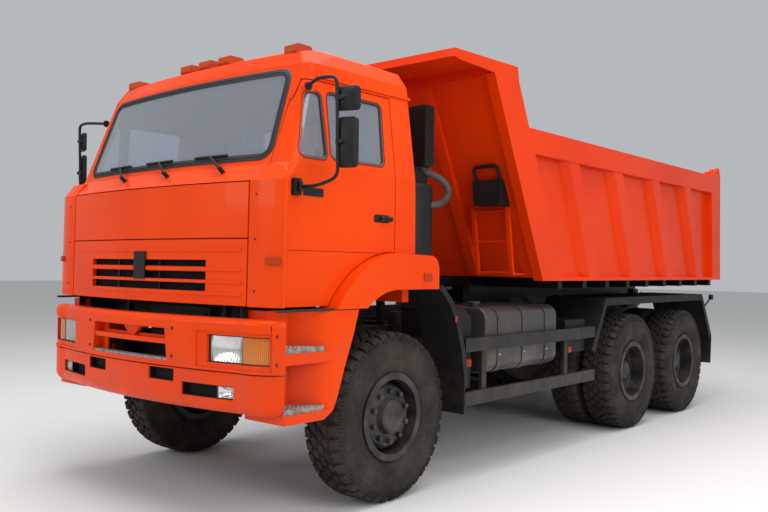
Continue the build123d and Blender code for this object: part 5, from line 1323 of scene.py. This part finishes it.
# %% Seat cloth
seat_cloth = finish("seat_cloth", (0.05, 0.05, 0.055), 0.85, Sheen_Weight=0.35, Sheen_Roughness=0.4)
weave = cells(seat_cloth, 420)
feed(seat_cloth, "Base Color", blend_colours(seat_cloth, span(seat_cloth, weave, 0.2, 0.8), (0.035, 0.036, 0.04),
                                             (0.075, 0.075, 0.08)))
bump(seat_cloth, weave, 0.0006, 0.6)


def box_form(name, low, high, lean=0.0, corner=0.03):
    """A closed box with chamfered edges; lean shifts its top rearward."""
    work = bmesh.new()
    bmesh.ops.create_cube(work, size=1)
    for vert in work.verts:
        for k in range(3):
            vert.co[k] = low[k] if vert.co[k] < 0 else high[k]
    bmesh.ops.bevel(work, geom=work.edges[:], offset=corner, segments=2, affect="EDGES", profile=0.6)
    for vert in work.verts:
        vert.co.y += lean * (vert.co.z - low[2]) / (high[2] - low[2])
    mesh = bpy.data.meshes.new(name)
    work.to_mesh(mesh)
    work.free()
    return mesh


CLOTH_FRAMES = 20


def puffed(name, mesh, pressure=4.0, voxel=0.012, most=0.018):
    """Remeshes a form, swells it as cloth under pressure and caps the swell."""
    obj = bpy.data.objects.new(name, mesh)
    bpy.context.collection.objects.link(obj)
    bpy.context.view_layer.objects.active = obj
    remesh = obj.modifiers.new("remesh", "REMESH")
    remesh.mode, remesh.voxel_size = "VOXEL", voxel
    graph = bpy.context.evaluated_depsgraph_get()
    even = bpy.data.meshes.new_from_object(obj.evaluated_get(graph))
    obj.modifiers.clear()
    obj.data = even
    rest = [v.co.copy() for v in even.vertices]
    scene = bpy.context.scene
    cloth = obj.modifiers.new("cloth", "CLOTH")
    cloth.settings.use_pressure = True
    cloth.settings.uniform_pressure_force = pressure
    cloth.settings.effector_weights.gravity = 0
    cloth.settings.mass = 0.3
    cloth.settings.tension_stiffness = cloth.settings.compression_stiffness = 20
    cloth.point_cache.frame_start, cloth.point_cache.frame_end = 1, CLOTH_FRAMES
    for step in range(1, CLOTH_FRAMES + 1):
        scene.frame_set(step)
    graph = bpy.context.evaluated_depsgraph_get()
    swollen = bpy.data.meshes.new_from_object(obj.evaluated_get(graph))
    obj.modifiers.clear()
    for vert, start in zip(swollen.vertices, rest):
        move = vert.co - start
        if move.length > most:
            vert.co = start + move.normalized() * most
    obj.data = swollen
    scene.frame_set(1)
    obj.data.polygons.foreach_set("use_smooth", [True] * len(obj.data.polygons))
    return obj


# %% [markdown]
# Driver and passenger have the same three pads on a plain pedestal, the passenger's a little wider, so one table
# of sizes serves both. One level of subdivision rounds the cloth after its swell is fixed.

# %% Seats
SEATS = [(590, 265, "driver"), (-520, 300, "passenger")]      # middle, half width, whose; millimetres
PADS = [  # name, share of the seat's half width, its margin, stations, heights, lean of the top
    ("cushion", 1, -20, (-485, 15), (1712, 1815), 0.0),
    ("backrest", 1, -30, (-40, 45), (1800, 2430), 0.045),
    ("headrest", 0, 115, (15, 78), (2452, 2600), 0.0),
]
PEDESTAL_MARGIN = 60
for middle, half, who in SEATS:
    for label, share, margin, (front, back), (bottom, top), lean in PADS:
        reach = share * half + margin
        form = box_form(label, at(middle - reach, front, bottom), at(middle + reach, back, top), lean)
        soft = puffed(f"{who}_{label}", form)
        soft.data.materials.clear()
        soft.data.materials.append(seat_cloth)
        divide = soft.modifiers.new("smooth", "SUBSURF")
        divide.levels = divide.render_levels = 1
        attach(soft, "cab")
        if (who, label) == ("driver", "cushion"):
            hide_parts("seats")
    reach = half - PEDESTAL_MARGIN
    pedestal = box_form("pedestal", at(middle - reach, -420, 1461), at(middle + reach, 0, 1706), 0.0, 0.012)
    piece(f"{who}_seat_base", pedestal, "cab", black_plastic)
print("two padded seats")

# %% [markdown]
# The fuel tank's straps are drawn tight by bolts, and its filler is a ribbed cap that a gloved hand can turn.
# The bolts repeat, so the points tree places them. The cap's ribs stand round a turned crown.

# %% Tank fittings
tank_low, tank_high = (Vector(corner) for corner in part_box("fuel_tank"))
STRAP_STATIONS = (1260, 1620, 1980)
strap_places = [at(1176, station, 885) for station in STRAP_STATIONS]
BOLT = [  # along the axis, radius
    (-0.004, 0.001), (-0.004, 0.015), (0.006, 0.015), (0.006, 0.009), (0.020, 0.009), (0.024, 0.006), (0.024, 0.001)]
bolt = lathe("strap_bolt", BOLT, 12)
piece("tank_strap_bolts", grown(POINTS, bolt, ground_steel, strap_places), "chassis")
CAP_RIBS, RIB_HIGH = 20, 0.026
rib = prism_block("rib", [[(0.046, -0.004, z), (0.051, -0.0025, z), (0.051, 0.0025, z), (0.046, 0.004, z)]
                          for z in (0.0, RIB_HIGH)])
ribs = [shifted(rib, Matrix.Rotation(2 * math.pi * k / CAP_RIBS, 4, "Z")) for k in range(CAP_RIBS)]
CROWN = [(0.0, 0.001), (0.0, 0.048), (0.028, 0.048), (0.034, 0.040), (0.036, 0.001)]
crown = shifted(lathe("crown", CROWN, 40), Matrix.Rotation(-math.pi / 2, 4, "Y"))
cap = joined("tank_cap", ribs + [crown])
cap.transform(Matrix.Translation(at(1000, 1180, 0)) @ Matrix.Translation((0, 0, tank_high.z - 0.037)))
piece("tank_cap", cap, "chassis", black_plastic)
print("tank", [round(v, 3) for v in tank_high - tank_low], "m with", len(strap_places), "strap bolts")

# %% [markdown]
# The hose behind the cab is moulded rubber that loops from the intake stack into the cleaner. A smooth curve
# through a few places gives its line, and every third ring is a little wider, as a moulded hose's ribs are.

# %% Intake hose
HOSE = [(890, 610, 2340), (895, 640, 2270), (935, 760, 2240), (975, 850, 2170), (980, 840, 2080), (975, 740, 2020),
        (930, 650, 2010), (880, 620, 2010)]
hose_line = bpy.data.curves.new("hose_line", "CURVE")
hose_line.dimensions = "3D"
spline = hose_line.splines.new("NURBS")
spline.points.add(len(HOSE) - 1)
for point, place in zip(spline.points, HOSE):
    point.co = (*at(*place), 1)
spline.order_u, spline.use_endpoint_u, spline.resolution_u = 3, True, 10
holder = bpy.data.objects.new("hose_line", hose_line)
bpy.context.collection.objects.link(holder)
line_mesh = bpy.data.meshes.new_from_object(holder.evaluated_get(bpy.context.evaluated_depsgraph_get()))
hose_path = [v.co.copy() for v in line_mesh.vertices]
bpy.data.objects.remove(holder)
HOSE_RADIUS, RIB_RADIUS = 0.026, 0.029
radii = [HOSE_RADIUS if i % 3 else RIB_RADIUS for i in range(len(hose_path))]
hose_rubber = finish("grey_hose_rubber", (0.06, 0.053, 0.05), 0.6, Specular_IOR_Level=0.3)
mottled(hose_rubber, 9, 6, (0.35, 0.7), (0.085, 0.074, 0.068), (0.035, 0.03, 0.027))
bump(hose_rubber, noise(hose_rubber, 160, 4), 0.0006, 0.5)
piece("intake_hose", swept("intake_hose", hose_path, radii, Vector((1, 0, 0)), 20), "chassis", hose_rubber)
print("hose of", len(hose_path), "rings")

# %% [markdown]
# Side markers are small amber lamps on the flanks. Each is a rounded lens on a thin black base, both built flat
# and facing left, then moved to their places. A smaller pair sits on the rims of the front mudguards.

# %% Side markers
LENS_SHARE = 0.86      # the lens is this much of its base's width and height


def marker(wide, high, deep):
    """A small lamp: a black base and a round-cornered amber lens on it."""
    u, v = wide / 2, high / 2
    base = slab("base", (-u, u), (-v, v), 0.008, "X", 0.0, 0.008)
    u, v = u * LENS_SHARE, v * LENS_SHARE
    return base, slab("lens", (-u, u), (-v, v), 0.007, "X", 0.006, deep, 0.004)


MARKERS = [  # place in millimetres, width, height, depth
    (1148.3, 880, 845, 0.062, 0.066, 0.026), (1180.3, 2372, 850, 0.062, 0.066, 0.026),
    (1247.5, 592, 1186, 0.026, 0.048, 0.012), (-1247.5, 592, 1186, 0.026, 0.048, 0.012),
]
bases, lenses = [], []
for x, y, z, wide, high, deep in MARKERS:
    base, lens = marker(wide, high, deep)
    facing = Matrix.Translation(at(x, y, z)) @ (MIRROR if x < 0 else Matrix())
    bases.append(shifted(base, facing))
    lenses.append(shifted(lens, facing))
piece("marker_bases", joined("bases", bases), "chassis", black_plastic)
piece("marker_lenses", joined("lenses", lenses), "chassis", amber)
print(len(lenses), "side markers")

# %% [markdown]
# Two lines are too fine for the solids: the press line across each door, and the joint between the bumper's
# middle and its end caps. Each is a hair-thin dark ribbon that follows the panel under it, point by point, so it
# bends with the sheet metal. On the door the ribbon is painted shadow in the press line's crease.

# %% Seams
def ribbon(name, tree, cast, places, width=0.0032, lift=0.0004):
    """A thin ribbon along places on a surface; cast turns a place into a ray."""
    sections = []
    for i, place in enumerate(places):
        ahead_of, behind = places[min(i + 1, len(places) - 1)], places[max(i - 1, 0)]
        run = Vector((ahead_of[0] - behind[0], ahead_of[1] - behind[1])).normalized()
        across_run = Vector((-run.y, run.x)) * width / 2
        feet = [struck(tree, *cast(Vector(place) + across_run * k)) for k in (-1, 1)]
        if None in feet:
            continue
        away = -cast(place)[1]
        sections.append([feet[k] + away * rise for k, rise in ((0, -0.001), (0, lift), (1, lift), (1, -0.001))])
    return prism_block(name, sections)


def between(start, end, count=24):
    """Evenly spaced places from one to the other."""
    a, b = Vector(start), Vector(end)
    return [a.lerp(b, k / count) for k in range(count + 1)]


seam_dark = finish("seam_shadow", (0.05, 0.006, 0.001), 0.8, Specular_IOR_Level=0.1)
feed(seam_dark, "Base Color", blend_colours(seam_dark, noise(seam_dark, 30, 3), (0.04, 0.005, 0.001),
                                            (0.07, 0.009, 0.0015)))
# painted shadow: the door's press line is drawn as the shade in its crease
PRESS_LINE = (-0.955, 1.640), (-0.06, 1.640)      # station and height of both ends, on the door
CAP_X, CAP_LOW, CAP_HIGH = 1.200, 0.945, 1.225    # the joint between the bumper and its end cap
for side, sign in SIDES:
    door_line = ribbon("door_line", surface(f"{side}_door"), from_beside(sign), between(*PRESS_LINE))
    piece(f"{side}_door_press_line", door_line, f"door_{side}", seam_dark)
    cap_ends = (sign * CAP_X, CAP_LOW), (sign * CAP_X, CAP_HIGH)
    cap_joint = ribbon("cap_joint", bumper_tree, from_ahead, between(*cap_ends, 16))
    piece(f"{side}_cap_joint", cap_joint, "chassis", seam_dark)
print("seams drawn")

# %% [markdown]
# The cab tilts, so a finger's gap parts it from the step units. Rubber strips on the step units close most of it,
# and a dark splash plate stands behind it, so that no daylight shows through the truck.

# %% Gap strips and splash plates
STRIP_X, PLATE_X = (1222, 1243), (910, 918)
STRIPS = ((-1085, -640, 1299), (-640, -440, 1289.5))      # front, back and top, under the door and under the flare
strips, plates = [], []
for side, sign in SIDES:
    x_low, x_high = sorted(sign * x for x in STRIP_X)
    for start, end, top in STRIPS:
        strips.append(box_form("strip", at(x_low, start, 1284), at(x_high, end, top), corner=0.002))
    x_low, x_high = sorted(sign * x for x in PLATE_X)
    plates.append(box_form("plate", at(x_low, -1085, 1150), at(x_high, -474, 1304), corner=0.002))
piece("step_gap_strips", joined("strips", strips), "chassis", seal_rubber)
piece("splash_plates", joined("plates", plates), "chassis", black_plastic)
print("gap closed on both sides")
